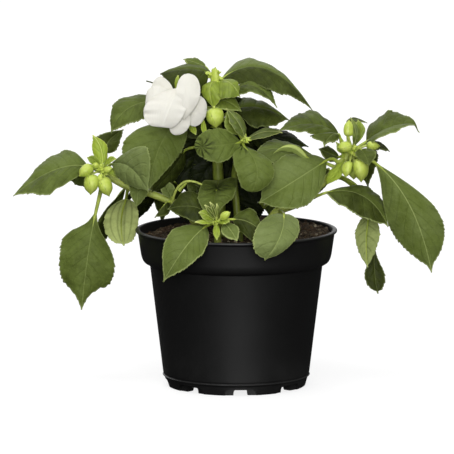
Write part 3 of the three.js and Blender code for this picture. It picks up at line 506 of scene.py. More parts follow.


# Each shoot's tone paints its stems: below 0 darker, as painted shade deep in the plant, and above 0
# paler, as painted light.
SHOOTS = {
    "main_shoot": {
        "stem": [(-10, 0, 74), (-10, 0, 88), (-10, 0, 111), (-11, -1, 132), (-11, -1, 153),
            (-12, 0, 171), (-13, 0, 186)],
        "radii": (4, 2.3),
        "tone": -0.6,
        "leaves": [
            leaf("top_left", (-16, 0, 187), (-29, -4, 190), (-45, -8, 187.5), (-26, 12, 190.6),
                (-30, -19, 175.5), start=(-12.5, 0, 184), shade=0.28, split=0.12, base_round=0.4,
                line=0.1),
            leaf("top_small", (-18, 8, 189.8), (-24, 8, 192.2), (-31.2, 8, 194.4),
                (-22.8, 13, 193.7), (-26, 3, 190.2), start=(-12.5, 0, 184),
                bend=((-15, 6, 185),), shade=0.5, line=0.6),
            leaf("top_right", (-8, 0, 184), (18, -4, 190), (45, -14, 166.5), (15, -14, 180),
                (12, 15, 193), start=(-12.5, 0, 180), shade=0.44, split=-0.22, line=0.1),
            leaf("upper_right", (-6, -4, 172.5), (8, -14, 181.5), (24, -16, 168.5), (8, -23, 178),
                (12, -4, 183.5), start=(-12, 0, 166), shade=0.43, split=-0.05, line=0.5),
            leaf("right_ribbed", (0, -2, 166), (15, -6, 167), (31, -7, 160), (12, -17, 157),
                (9, 8, 171), start=(-12, 0, 159), shade=0.34, split=-0.13, quilt=0.5, line=0.1),
            leaf("bud_side", (-13, -8, 171), (-6, -14, 172), (3, -15, 166), (-10, -18, 168),
                (-4, -8, 175), start=(-12, 0, 166), shade=0.36, young=0.15, line=0.7),
            leaf("far_left", (-39, -2, 171), (-62, -8, 168), (-74, -12, 153), (-67, 2, 172),
                (-57, -14, 161), start=(-12, 0, 165), shade=0.4),
            leaf("under_bloom", (-35, -9, 160), (-46, -24, 144), (-51, -31, 122), (-66, -19, 148),
                (-32, -17, 144), start=(-11, -1, 155), belly=0.4, base_round=0.55,
                tip_round=0.8, shade=0.58, line=0.2, veins=6),
            leaf("under_bloom_dark", (-30, -4, 142), (-39, -16, 130), (-50, -24, 119),
                (-46, -22, 130), (-34, -8, 127), start=(-11, -1, 146), shade=0.16),
            spread_leaf("back_top", (-12, 0, 168), 96, 52, 8, 22, 30, shade=0.4),
            spread_leaf("back_upper_left", (-11, -1, 158), 128, 48, 3, 22, 28, shade=0.35),
            spread_leaf("back_upper_right", (-11, -1, 148), 58, 52, 3, 24, 30, shade=0.4),
            spread_leaf("back_middle", (-11, -1, 128), 86, 48, 4, 20, 30, shade=0.35),
            # The shade_ leaves are near-black leaves set deep in the plant: painted shade that fills
            # its dark interior.
            leaf("shade_bloom", (-13, -3, 160), (-20, -7, 157), (-31, -9, 151), (-20, -6, 164),
                (-21, -9, 150), shade=0.12),
            leaf("shade_gap", (-7, 4, 159), (-18, 6, 151), (-31, 6, 138), (-27, 6, 154),
                (-11, 8, 142), start=(-11, 0, 157), shade=0.08),
            leaf("shade_high", (-10, 3, 172), (-3, 6, 166), (8, 8, 157), (-9, 7, 163),
                (6, 6, 170), start=(-12, 0, 170), shade=0.08),
            leaf("shade_middle", (-12, 3, 134), (-19, 4, 127), (-24, 4, 117), (-25, 3, 131),
                (-12, 6, 119), start=(-11, 0, 134), shade=0.0),
            leaf("shade_left", (-14, 3, 150), (-24, 4, 138), (-28, 4, 113), (-41, 2, 136),
                (-7, 5, 138), start=(-11, 0, 148), shade=0.0),
            leaf("shade_far", (8, 5, 141), (16, 7, 134), (24, 8, 125), (9, 7, 131),
                (23, 8, 138), start=(-11, 0, 146), shade=0.0),
            leaf("shade_right", (-4, 4, 140), (3, 7, 124), (8, 7, 104), (-8, 6, 119),
                (17, 7, 122), start=(-11, 0, 134), shade=0.0),
            leaf("shade_low", (-13, 5, 124), (-22, 8, 113), (-30, 9, 97), (-36, 7, 110),
                (-12, 8, 108), start=(-10.5, 0, 122), shade=0.0),
            leaf("shade_deep", (-7, 4, 116), (3, 8, 108), (6, 9, 93), (-8, 7, 104),
                (15, 8, 106), start=(-10.5, 0, 114), shade=0.0),
            leaf("shade_top", (-7, 2, 160), (4, 6, 152), (14, 7, 138), (-7, 5, 147),
                (18, 8, 155), start=(-11, 0, 156), shade=0.05),
        ],
    },
    "middle_shoot": {
        "stem": [(2, -14, 75), (2, -14, 90), (0, -9, 109), (-1, -9, 127), (1, -14, 140),
            (4, -23, 150)],
        "radii": (2.3, 1.8),
        "tone": -0.6,
        "leaves": [
            leaf("left_round", (2.5, -26, 149), (-12, -34, 148), (-24.5, -33, 147),
                (-12, -25, 157), (-9, -38, 139), base_round=0.85, tip_round=0.5, tail=0,
                shade=0.49, quilt=0.3, veins=5, line=0.15, star=0.82),
            leaf("lower_round", (4, -27, 147), (12, -41, 136), (9, -43, 122), (-1, -38, 137),
                (22, -37, 135), base_round=0.55, tip_round=0.48, tail=0, shade=0.52, quilt=0.3,
                veins=5, line=0.15, star=0.0),
            leaf("right_dark", (9, -12, 150), (22, 2, 149), (43, 8, 142), (20, -3, 141),
                (24, 12, 152), shade=0.06),
            leaf("upper_folded", (2, -23, 153), (-2, -22, 159), (-5, -21, 168), (2, -19, 161),
                (-6, -25, 157), shade=0.4, young=0.2),
        ],
    },
    "left_shoot": {
        "stem": [(-22, -8, 75), (-22, -8, 89), (-27, -10, 103), (-36, -10, 110), (-53, -10, 117),
            (-64, -9, 120), (-72, -8, 124), (-78, -7, 128)],
        "radii": (2.7, 1.9),
        "tone": 0.35,
        "side_stems": [
            ([(-36, -10, 109), (-37, -12, 112), (-38, -14, 114)], (1.7, 1.5, 1.1)),
            ([(-38, -13.5, 111), (-36.5, -16, 117), (-34, -17, 121.5), (-30, -17.5, 124.5),
              (-25, -18, 124.5), (-20, -18, 122.5)], (1.0, 0.75, 0.7, 0.6)),
        ],
        "leaves": [
            leaf("far_reach", (-88, -6, 132), (-108, -8, 130), (-132, -10, 115), (-105, 6, 139),
                (-110, -22, 118.5), tip_round=1.05, base_round=0.95, shade=0.48, line=0.7,
                split=0.05),
            leaf("large_drop", (-83.5, -10, 104.1), (-87.9, -17, 79.9), (-91.8, -16, 47.6),
                (-104.6, -12, 77.9), (-71.9, -12, 75.5), bend=[(-80, -7, 119)], petiole=1.4,
                belly=0.5, tail=0, shade=0.46, tooth=1.1, veins=8, line=0.4,
                outline=((0.05, 0.22, 0.76, 1, 1, 0.99, 0.94, 0.8, 0.5, 0.18, 0),
                         (0.05, 0.14, 0.3, 0.56, 0.8, 0.95, 1, 0.91, 0.45, 0.14, 0))),
            leaf("pale_back", (-65.5, -2, 112), (-68.6, 8, 97), (-67, 10, 82), (-58.6, 9, 97),
                (-78.6, 7, 97), start=(-64, -9, 120), base_round=0.42, tip_round=0.45, ribs=2.4,
                quilt=0.6, veins=5, shade=0.95, line=0.7),
            leaf("dark_back", (-66, 8, 117), (-76, 17, 100), (-80, 18, 81), (-83, 14, 95),
                (-73, 17, 95), start=(-64, -9, 121), shade=0.25),
            leaf("broad_right", (-75, -14, 134), (-63, -34, 135.5), (-51.5, -44, 122),
                (-68, -29, 127), (-53, -40, 147.5), belly=0.6, base_round=0.95, shade=0.82,
                line=0.25),
            leaf("pointed_low", (-58, -18, 127), (-58, -28, 120), (-59, -30, 111),
                (-63, -26, 123), (-52, -24, 121), start=(-60, -10, 119), shade=0.62),
            leaf("behind_knot", (-86, 0, 132), (-93, 6, 127), (-96, 8, 119), (-99, 8, 128),
                (-87, 10, 119), shade=0.5, base_round=0.6),
            leaf("upper_dark", (-77, 2, 139), (-76, 8, 145), (-67, 10, 152), (-71, 8, 141),
                (-83, 7, 147), shade=0.28),
            leaf("low_strip", (-50, 4, 115), (-54, 14, 107), (-59, 22, 96), (-59, 15, 107),
                (-50, 15, 107), start=(-52, -10, 117), shade=0.04),
            leaf("side_dark", (-40, -15, 112), (-43, -19, 110), (-48, -20, 103.5),
                (-45, -19, 107.5), (-40, -18, 106), start=(-37, -12, 112), shade=0.22),
            leaf("side_upright", (-38, -14, 114), (-41, -16, 120), (-44, -16, 124.5),
                (-37, -15, 121.5), (-44, -18, 118), start=(-37, -12, 112), shade=0.75,
                tooth=0.3),
            leaf("side_arch", (-29, -16, 124), (-24, -15, 122), (-19, -16, 117), (-27, -18, 118),
                (-20, -12, 123), start=(-34, -15, 119), shade=0.15, tooth=0.3),
        ],
    },
    "right_shoot": {
        "stem": [(18, -16, 75), (18, -16, 90), (21, -19, 103), (26, -20, 108), (35, -16, 111),
            (48, -10, 120), (56, -8, 127), (63, -7, 135), (67, -6, 140)],
        "radii": (3, 2.2),
        "tone": 0.35,
        "leaves": [
            leaf("front_large", (53, -13, 136.5), (34, -30, 126.5), (13.4, -35, 114.2),
                (26.6, -19, 138.6), (42.5, -34, 114), start=(61, -7, 134), bend=[(57, -10, 137)],
                belly=0.5, base_round=0.75, tip_round=0.7, shade=0.6, line=0.6, split=0.06),
            leaf("inner_arch", (49, -8, 136), (31, -11, 143), (11, -18, 142), (27, -3, 147),
                (26, -20, 135), start=(60, -7, 131), shade=0.66, line=0.6),
            leaf("inner_curl", (42, -18, 138.5), (33, -20, 146.3), (22, -20, 141.5),
                (32.5, -20.5, 145), (32, -19, 142.4), start=(49, -8, 136), shade=1.0, young=0.3,
                petiole=0.6, tooth=0.2, base_round=0.6, tip_round=0.7),
            leaf("over_left", (61, -3, 149.5), (46, -12, 158), (25, -19, 155), (46, 6, 163),
                (46, -22, 153), shade=0.38, quilt=0.4, belly=0.4, base_round=0.4, line=0.2),
            leaf("over_left_low", (61, -12, 152), (56, -20, 152.5), (51.8, -25, 146.4),
                (44.5, -20, 152), (58.5, -21, 149), start=(64, -7, 136), shade=0.36,
                tip_round=1.2, tail=0.1),
            leaf("over_right", (77, -4, 146.5), (92, -6, 155.5), (108.4, -5, 156.8), (91, -18, 153.4),
                (88, 9, 161.5), shade=0.42, hook=4.5, belly=0.38, base_round=0.35, line=0.9,
                split=0.05),
            leaf("large_drop", (80, -11, 136.3), (102, -20, 111.5), (115.6, -18, 70.2),
                (91, -14, 97), (120.5, -12, 103.5), petiole=1.4, base_round=1.25, belly=0.57,
                shade=0.59, line=1, veins=8, quilt=0.3, tip_round=0.85),
            leaf("low_arch", (52.8, -18, 118), (74.8, -15, 115.6), (89.9, -16, 97.3),
                (66.5, -24, 108.5), (79.5, -4, 118.3), start=(34, -17, 110), shade=0.36,
                split=-0.07, belly=0.52, tip_round=0.65, line=0.8),
            leaf("hanging_pale", (79, 2, 103), (77, -3, 87), (78, -3, 71), (85, 0, 91),
                (71, -4, 91), start=(55, -8, 126), bend=[(62, 0, 125), (73, 6, 117)], veins=5),
            leaf("hanging_dark", (83, 10, 88), (82.3, 8, 70), (84.6, 6, 53.7), (76.8, 7, 64.5),
                (88.3, 9, 64.5), start=(56, -8, 127), bend=[(66, 8, 121), (78, 12, 108)],
                belly=0.7, base_round=1.3, tip_round=0.5, shade=0.22),
            leaf("round_pale", (28, -38, 108), (25.4, -63, 98), (16.5, -67, 85), (11, -63, 101),
                (36, -57, 99), start=(26, -20, 107), base_round=0.4, tip_round=0.5,
                petiole=1.3, shade=0.82, veins=5, line=0.9),
            leaf("small_hanging", (73.4, -18, 144), (76, -26, 141), (78.1, -28, 135.6),
                (70.5, -24, 141), (82, -24, 143), shade=0.32, line=0.2),
            leaf("small_right", (76, 2, 144), (83, 2, 145), (91, 2, 140), (83, -3, 142),
                (84, 6, 145), shade=0.2),
            leaf("small_left", (61, -2, 137), (56, -2, 139), (49, -2, 142), (56, 3, 142),
                (55, -7, 135), shade=0.32),
            leaf("bright_side", (63, -12, 136), (59, -15, 129), (53.5, -14, 122.5),
                (54.4, -13, 128.5), (62, -17, 128), start=(64, -7, 137), shade=1.0, young=0.9,
                tooth=0.25, petiole=0.8),
            leaf("dim_side", (55, -6, 131), (51, -7, 126), (49, -7, 119), (48, -6, 127),
                (54, -8, 124), start=(56, -8, 128), shade=0.25, petiole=0.7),
            leaf("behind_top", (66, 10, 150), (69, 14, 157), (78, 18, 155), (70, 9, 155),
                (67, 19, 157), shade=0.28),
            spread_leaf("back_low", (44, -12, 118), 86, 44, 6, 17, 26, shade=0.35),
            spread_leaf("back_outer", (62, -7, 134), 66, 42, 4, 24, 24, shade=0.4),
        ],
    },
    "front_shoot": {
        "stem": [(-11, -28, 76), (-11, -28, 90), (-11, -33, 99), (-11, -37, 104)],
        "radii": (2.4, 2),
        "tone": 0.2,
        "leaves": [
            leaf("over_rim_left", (-18, -40, 101), (-29, -63, 93), (-42.7, -62, 71.6),
                (-39.5, -55, 98), (-21, -68, 88), base_round=0.6, tip_round=0.85, shade=0.58,
                line=1),
            leaf("left_dark", (-17, -36, 108), (-27, -37, 112.5), (-40.5, -32, 110),
                (-26, -26, 120), (-25, -45, 105), shade=0.17, line=0.7),
            leaf("middle_heart", (-11.7, -25, 120.8), (-13, -38, 115.5), (-14.5, -45, 107.6),
                (-22.5, -33, 117.5), (-0.6, -31, 120), bend=[(-12, -26, 112)], belly=0.34,
                base_round=0.26, tip_round=0.75, shade=0.4, quilt=0.3, lobes=15, veins=5,
                line=0.1, star=0.0),
            leaf("right_flat", (-2.6, -42, 105.5), (7, -46, 104.5), (15.5, -49, 98),
                (8.5, -50, 94.6), (9, -37, 110.6), belly=0.5, shade=0.25, line=0.7, split=-0.06),
            leaf("small_right", (-7, -44, 103.5), (-3.5, -51, 100.5), (0.4, -55, 94.6),
                (-8, -52, 98.5), (0.5, -49, 102), shade=0.62, line=0.8),
        ],
    },
    "back_left_shoot": {
        "stem": [(-20, 22, 72), (-20, 22, 92), (-24, 26, 105), (-29, 32, 118)],
        "radii": (2.6, 1.9),
        "tone": 0.0,
        "leaves": [
            spread_leaf("outer_left", (-28, 31, 115), 168, 42, 4, 24, 26, shade=0.3),
            spread_leaf("outer_back", (-28, 31, 114), 112, 46, 2, 30, 28, shade=0.42),
            spread_leaf("inner_front", (-29, 32, 117), -100, 22, 8, 4, 22, shade=0.25),
            spread_leaf("low_back", (-23, 25, 101), 76, 46, 9, 10, 24, shade=0.35),
        ],
    },
    "back_right_shoot": {
        "stem": [(10, 26, 72), (10, 26, 92), (14, 30, 103), (20, 36, 114)],
        "radii": (2.5, 1.8),
        "tone": 0.0,
        "leaves": [
            spread_leaf("outer_right", (19, 35, 112), 8, 32, 8, 10, 22, shade=0.2),
            spread_leaf("outer_back", (19, 35, 111), 84, 40, 3, 30, 26, shade=0.42),
            spread_leaf("inner_front", (20, 36, 113), -70, 24, 10, 4, 20, shade=0.2),
            spread_leaf("low_back", (14, 29, 100), 50, 46, 9, 6, 22, shade=0.35),
        ],
    },
}

TIPS = {
    "main_shoot_tip": {
        "knot": (-13, -2, 186),
        "radius": 3.4,
        "bits": 9,
        "leaves": [
            leaf("curled_left", (-12, -5, 183), (-15.5, -14, 180), (-13.5, -16, 168),
                (-20.5, -10, 179), (-8, -16, 176), tooth=0.5, shade=0.75, start=(-13, -1, 184)),
            leaf("curled_right", (-11, -5, 182), (-4, -14, 183), (2, -17, 175), (-9, -19, 175),
                (-1, -10, 184), tooth=0.5, shade=0.62, start=(-13, -1, 184)),
        ],
        "buds": [((-13, -17, 168), (-12, -22, 156.8), 4.9),
                 ((-12.8, -5, 180), (-12.4, -6, 191.5), 2.7)],
    },
    "middle_shoot_tip": {
        "knot": (5, -27, 151),
        "radius": 2.2,
        "bits": 10,
        "leaves": [
            leaf("light_right", (6, -27, 151), (16, -25, 155), (27, -23, 154.5), (16, -28, 152),
                (16, -22, 156.5), tooth=0.5, shade=0.22, line=0.4),
            leaf("light_up", (5, -28, 152), (1, -28, 161), (-6, -26, 169), (4, -26, 162),
                (-2, -30, 158.5), tooth=0.5, shade=0.35, line=0.4),
        ],
        "buds": [],
    },
    "left_shoot_buds": {
        "knot": (-79, -13, 131),
        "radius": 3.0,
        "bits": 26,
        "leaves": [
            leaf("young_upright", (-79.5, -12, 133), (-80, -10, 143), (-85, -9, 151),
                (-76.5, -9, 144), (-85, -9, 142), tooth=0.4, shade=1.0, tip_round=1.1, line=1),
            leaf("young_right", (-79, -15, 133), (-75, -19, 137), (-71, -20, 138.5),
                (-75, -20, 135.5), (-75, -18, 139), tooth=0.3, shade=0.88),
            leaf("young_side", (-80, -14, 132), (-84, -16, 137), (-88, -16, 138.5),
                (-83, -16, 139), (-86, -17, 135.5), tooth=0.2, shade=0.76),
            leaf("young_low", (-78, -15, 132), (-72, -20, 131), (-67, -22, 126),
                (-73, -21, 128.5), (-70, -20, 132), tooth=0.3, shade=0.7),
        ],
        "buds": [((-85.5, -17, 133.5), (-92.8, -21, 128), 3.9),
                 ((-85.3, -17, 128.5), (-86, -22, 117), 4.5),
                 ((-79.3, -17, 126.8), (-75, -20, 115.8), 4.0),
                 ((-82, -17, 134), (-84.5, -20, 134.5), 2.0),
                 ((-78, -17, 131), (-73, -20, 133), 1.8),
                 ((-80, -18, 129), (-80, -21, 124.5), 1.6)],
    },
    "right_shoot_buds": {
        "knot": (69, -12, 142),
        "radius": 3.1,
        "bits": 24,
        "leaves": [
            leaf("young_pointed", (69.5, -14, 145), (70.5, -15, 153), (67.5, -13, 162),
                (73, -14, 153), (68.5, -15, 153), tooth=0.3, shade=0.4, line=0.3),
            leaf("young_broad", (70, -10, 145), (73, -9, 152), (72, -8, 160), (76, -9, 153),
                (69, -10, 153), tooth=0.3, shade=0.64),
            leaf("young_low", (67, -15, 142), (63, -18, 143), (59, -18, 148), (64, -18, 146),
                (61, -18, 142), tooth=0.3, shade=0.7),
        ],
        "buds": [((66.2, -15, 151), (66.6, -14, 161), 2.9),
                 ((67.5, -17, 145.3), (59.8, -20.5, 145), 3.7),
                 ((67, -17, 136.5), (64.5, -21, 127.3), 3.2),
                 ((73.3, -19, 138.5), (73.6, -24, 124.8), 5.0),
                 ((69.5, -13, 134), (69.5, -13, 125), 3.3),
                 ((77, -10, 144.9), (85.3, -10, 144.6), 2.7)],
    },
    "front_shoot_tip": {
        "knot": (-12.1, -42, 103.6),
        "radius": 2.0,
        "bits": 12,
        "leaves": [
            leaf("lime_left", (-13, -43, 105.5), (-18, -46, 109), (-22, -46, 110), (-17, -44, 111),
                (-18, -48, 105.8), tooth=0.3, shade=0.73, line=0.8),
            leaf("pale_narrow", (-13, -43, 104), (-18.5, -48, 104.8), (-24, -49, 105),
                (-18.5, -47, 105.9), (-18.5, -49, 103.6), tooth=0.2, shade=1.0, line=1),
            leaf("lime_down", (-12, -43, 103), (-11.5, -50, 99.6), (-11.5, -53, 95),
                (-13.6, -50, 99), (-9.6, -50, 99.4), tooth=0.2, shade=0.88),
            leaf("young_up", (-12, -43, 106), (-15, -45.5, 110.5), (-18.5, -46, 114.5),
                (-14, -45, 111.5), (-16.2, -46, 109.8), tooth=0.2, shade=0.4, line=1),
            leaf("young_fold", (-11.5, -43, 106), (-13, -45.5, 112), (-15.5, -45, 116),
                (-12.2, -45, 112.4), (-14.2, -46, 111.4), tooth=0.2, shade=0.4, line=1),
            leaf("young_high", (-11.3, -43, 106), (-11, -45.5, 111), (-11.4, -45, 115),
                (-10.2, -45, 111.4), (-12, -46, 110.8), tooth=0.2, shade=0.46, line=1),
            leaf("lime_right", (-11, -43, 104.5), (-7.5, -47, 105.5), (-4, -49, 105),
                (-8, -49, 103.6), (-7, -46, 107), tooth=0.2, shade=0.82),
        ],
        "buds": [((-9, -45, 106.5), (-3.4, -49, 110.8), 2.4)],
    },
}

PETAL_FORM = {
    "belly": 0.58, "base_round": 0.6, "tip_round": 0.38, "tail": 0.0, "puff": 0.0, "dome": 0.05,
    "wave": 0.25, "tooth": 0.12, "quilt": 0.0, "ruffle": 0.025, "pleat": 0.07,
}

PETALS = [
    petal("back_left", (-38.9, -21, 170.6), (-42.4, -24, 178.8), (-44.4, -22.5, 187.6),
        (-36.7, -23.5, 178.8), (-49.6, -22.5, 179.2), tip_round=0.5),
    petal("right", (-30.5, -22, 170.1), (-24.3, -28, 168.0), (-18.1, -26, 164.7),
        (-26.7, -28.5, 159.3), (-20.8, -25, 176.0)),
    petal("left", (-33.5, -24, 171.0), (-44.2, -30, 171.3), (-53.4, -27.5, 172.7),
        (-45.4, -27, 182.6), (-46.0, -30.5, 160.8), tip_round=0.3),
    petal("bottom", (-29.9, -26, 171.3), (-32.6, -32.5, 162.6), (-36.2, -33.5, 154.4),
        (-38.4, -32, 162.3), (-27.5, -31.5, 159.8), tip_round=0.45),
    petal("left_low", (-34.7, -27, 172.7), (-43.3, -33, 168.1), (-51.1, -31.5, 163.1),
        (-49.0, -30, 173.1), (-39.7, -34, 160.5), tip_round=0.3),
    petal("front", (-35.0, -28.5, 181.3), (-39.7, -34.8, 171.4), (-43.3, -36.2, 159.2),
        (-53.8, -31.8, 170.9), (-29.9, -33.8, 168.8), wave=0.3, ruffle=0.04, belly=0.52, tip_round=0.3),
    petal("upright", (-31.1, -33, 163.3), (-29.0, -32.2, 177.0), (-28.1, -27, 189.8),
        (-21.3, -30.2, 178.5), (-35.6, -30.8, 179.2), pleat=0.1),
]

BLOOM_CENTRE = np.array((-34.0, -20.0, 167.0))
CALYX_KNOT = np.array((-33.0, -15.0, 163.0))
CALYX_RADIUS = 4.4
CALYX_STALK = [(-12, 0, 157), (-20, -4, 165), (-28, -10, 165), (-33, -14, 163)]
CALYX_SPUR = [(-34, -13, 161), (-37, -4, 157), (-36, 3, 150)]
CALYX_THREAD = [(-34.7, -14, 167), (-41.8, -16, 177), (-49, -18, 183.1), (-53.1, -18, 184.4)]
SEPALS = [
    leaf("sepal_low", (-28, -18, 159.5), (-25.5, -24, 157), (-24, -27, 153.8), (-27.4, -24, 156),
        (-24, -24, 157.5)),
    leaf("sepal_right", (-19.8, -18, 162.3), (-19.2, -23, 157), (-18.3, -26, 152.4),
        (-20.7, -23, 157), (-17.7, -23, 157)),
    leaf("sepal_up", (-34.7, -17, 176), (-34.9, -18.5, 183), (-34.3, -18, 187.6),
        (-33.4, -18, 183), (-36.2, -18, 183)),
]


# ---------- blades ----------
def midrib(blade, share):
    share = np.asarray(share, float)[..., None]
    control = 2 * blade["middle"] - (blade["base"] + blade["tip"]) / 2
    return ((1 - share) ** 2 * blade["base"] + 2 * share * (1 - share) * control
            + share * share * blade["tip"])


def width_share(blade, share, side):
    """Half width as a share of the widest: a lens with a slim tail drawn out at its tip, or the
    blade's own outline of shares at even steps from its base."""
    if blade["outline"]:
        widths = blade["outline"][side]
        path = smooth_path([(i / (len(widths) - 1), w, 0) for i, w in enumerate(widths)], 0.02)
        return np.interp(share, path[:, 0], path[:, 1])
    tail, belly = blade["tail"], blade["belly"]
    in_lens = np.minimum(1, share / (1 - tail))
    shifted = in_lens ** (math.log(0.5) / math.log(belly))
    power = np.where(in_lens < belly, blade["base_round"], blade["tip_round"])
    lens = np.clip(np.sin(np.pi * shifted), 0, 1) ** power
    if tail > 0:
        slim = TAIL_WIDTH * (1 - share) / tail * smooth(0.72, 0.88, share)
        lens = (lens ** 4 + slim ** 4) ** 0.25
    return lens


def tooth_wave(phase):
    """A blunt tooth that leans forward: 0 in its notch, 1 near its far end."""
    step = phase % 1
    return np.where(step < 0.72, np.clip(step / 0.72, 0, 1) ** 0.75, (1 - step) / 0.28)


ACROSS = np.array((0, 0.03, 0.08, 0.16, 0.27, 0.4, 0.54, 0.68, 0.8, 0.9, 0.96, 1.0))


def blade_frame(blade):
    """The two half widths, the way up and the length of a blade."""
    widest = midrib(blade, blade["belly"] * (1 - blade["tail"]))
    halves = (blade["left"] - widest, blade["right"] - widest)
    upward = unit(np.cross(blade["tip"] - blade["base"], blade["right"] - blade["left"]))
    rib = midrib(blade, np.linspace(0, 1, 30))
    length = np.linalg.norm(np.diff(rib, axis=0), axis=1).sum()
    return halves, upward, length


def blade_surface(blade, seed, teeth, rows):
    """Points of the middle surface, row after row from edge to edge, and their numbers."""
    halves, upward, length = blade_frame(blade)
    share = np.linspace(0, 1, rows + 1)
    centre = midrib(blade, share)
    ahead = unit(np.gradient(centre, axis=0))
    star_at = 0.0 if blade["star"] is None else blade["star"]
    star = midrib(blade, star_at) - ahead[0] * (0 if star_at else blade["lobes"] * 0.15)
    forward, aside = unit(blade["tip"] - blade["base"]), unit(blade["right"] - blade["left"])
    across = np.concatenate([-ACROSS[:0:-1], ACROSS])
    veins = blade["veins"] or max(4, round(length / VEIN_PITCH))
    random = np.random.default_rng(seed)
    beats = random.uniform(0, 2 * np.pi, 6)
    pace = random.uniform(0.8, 1.25, 3)
    teeth_phase = share * teeth + 0.3 * np.sin(2 * np.pi * share * 3.3 + beats[5])
    uneven = random.uniform(0.45, 1.25, (2, teeth + 3))
    centre = centre - Z_UP * (blade["hook"] * smooth(0.86, 1.0, share) ** 2)[:, None]
    shape = np.zeros((rows + 1, len(across), 3))
    numbers = np.zeros((3, rows + 1, len(across), 3))
    for column, s in enumerate(across):
        side = 0 if s < 0 else 1
        a = abs(s)
        width = width_share(blade, share, side)
        half = halves[side]
        broad = np.linalg.norm(half)
        out = half / broad
        wave = tooth_wave(teeth_phase + 0.5 * side)
        window = np.sqrt(width) * smooth(0.05, 0.16, share) * smooth(1.0, 0.93, share)
        wave = wave * uneven[side, (teeth_phase + 0.5 * side).astype(int).clip(0, teeth + 2)]
        tooth = blade["tooth"] * wave * window * a ** 7
        reach = np.maximum(SLIM_END, broad * width) * a + tooth
        rib = broad * width * a
        phase = veins * (share - 0.24 * a ** 1.25) + 0.5 * side
        if blade["ribs"]:
            phase = np.full(rows + 1, blade["ribs"] * a + 0.5)
        arch = blade["puff"] * broad * width * 4 * a * (1 - a)
        ruffle = blade["ruffle"] * broad * width * a * a * (
            np.sin(2 * np.pi * (2.2 * pace[side] * share) + beats[side])
            + 0.5 * np.sin(2 * np.pi * (5.1 * pace[side] * share) + beats[2 + side]))
        ripple = blade["wave"] * a * width * np.sin(
            2 * np.pi * share * (2.5 + side) + side * 2 + beats[4])
        pillow = blade["quilt"] * np.sin(np.pi * phase) ** 2 * (1 - a ** 4) * np.sqrt(width)
        pillow = pillow * (1 - np.exp(-rib / 2.0)) * smooth(0, 0.1, share)
        channel = 0.45 * np.exp(-(rib / 0.9) ** 2) * (1 - 0.6 * share)
        curl = -blade["cup"] * broad * width * a ** 3
        dome = blade["dome"] * broad * width * (1 - a * a)
        back = blade["lobes"] * a ** 1.5 * smooth(0.4, 0.0, share)
        pleat = blade["pleat"] * smooth(0.1, 0.5, share) * np.sqrt(width) * (
            np.cos(2 * np.pi * 3.5 * a + beats[1]) + 0.6 * np.cos(2 * np.pi * 7.3 * a + beats[3]))
        lift = arch + dome + ruffle + ripple + pillow - channel + curl + pleat
        shape[:, column] = (centre + out * reach[:, None] + upward * lift[:, None]
                            + ahead * (0.8 * tooth - back)[:, None])
        numbers[0, :, column] = np.stack(
            [rib, np.maximum(SLIM_END, broad * width) * (1 - a), phase], axis=1)
        pitch = broad / blade["ribs"] if blade["ribs"] else length / veins
        numbers[1, :, column] = np.stack(
            [np.full(rows + 1, pitch), share, np.full(rows + 1, s)], axis=1)
        spoke = shape[:, column] - star
        far = np.linalg.norm(spoke, axis=1) + (99 if blade["star"] is None else 0)
        turn = np.arctan2(spoke @ aside, spoke @ forward * (-1 if star_at > 0.5 else 1)) / np.pi
        numbers[2, :, column] = np.stack([np.full(rows + 1, blade["line"]), turn, far], axis=1)
    return shape, numbers, teeth_phase


def surface_normals(shape):
    down = np.gradient(shape, axis=0)
    over = np.gradient(shape, axis=1)
    return unit(np.cross(down, over))


def add_blade(shape, blade, seed, thickness=BLADE_THICKNESS, detail=1.0, spines=None):
    """Adds a closed blade with its teeth, and marks where small spines stand on its teeth."""
    halves, _, length = blade_frame(blade)
    teeth = max(5, round(length / TOOTH_PITCH))
    rows = max(14, round(teeth * 5 * detail))
    surface, numbers, teeth_phase = blade_surface(blade, seed, teeth, rows)
    normal = surface_normals(surface)
    count, columns = surface.shape[:2]
    edge = np.abs(np.concatenate([-ACROSS[:0:-1], ACROSS]))
    thin = (0.5 * thickness * (1 - 0.45 * edge ** 4))[None, :, None]
    upper = (surface + normal * thin).reshape(-1, 3)
    lower = (surface - normal * thin).reshape(-1, 3)
    total = count * columns
    faces = grid_faces(count, columns) + grid_faces(count, columns, total, flip=True)
    rim = [i * columns for i in range(count)]
    rim += [(count - 1) * columns + j for j in range(1, columns)]
    rim += [i * columns + columns - 1 for i in range(count - 2, -1, -1)]
    rim += [j for j in range(columns - 2, 0, -1)]
    faces += [(a, a + total, b + total, b) for a, b in zip(rim, rim[1:] + rim[:1])]
    vein, form, mark = (numbers[k].reshape(-1, 3) for k in (0, 1, 2))
    tone = np.zeros((2 * total, 3))
    # The first tone number is the leaf's shade, partly painted shade and painted light; split paints
    # one half darker as painted shade.
    tone[:, 0] = blade["shade"] - blade["split"] * np.clip(np.tile(form[:, 2] * 6, 2), -1, 1)
    tone[total:, 1] = 1
    tone[:, 2] = blade["young"]
    shape.add(np.concatenate([upper, lower]), faces, vein=np.concatenate([vein, vein]),
              form=np.concatenate([form, form]), mark=np.concatenate([mark, mark]), tone=tone)
    if spines is None:
        return
    for side, column in ((0, 0), (1, columns - 1)):
        phase = teeth_phase + 0.5 * side
        peaks = [i for i in range(2, count - 2)
                 if int(phase[i] - 0.72) > int(phase[i - 1] - 0.72) and phase[i] > 1]
        for i in peaks:
            outward = unit(surface[i, column] - surface[i, column + (1 if side == 0 else -1)])
            ahead = unit(surface[i + 1, column] - surface[i - 1, column])
            spines.append((surface[i, column], unit(outward + 1.1 * ahead)))


def rib_path(blade, last):
    """A line just under the midrib, from the petiole's end."""
    _, upward, _ = blade_frame(blade)
    share = np.linspace(0.03, last, 14)
    sink = (0.35 + 0.65 * blade["petiole"] * PETIOLE_TAPER) * smooth(-0.02, 0.12, share)
    return midrib(blade, share) - upward * sink[:, None]


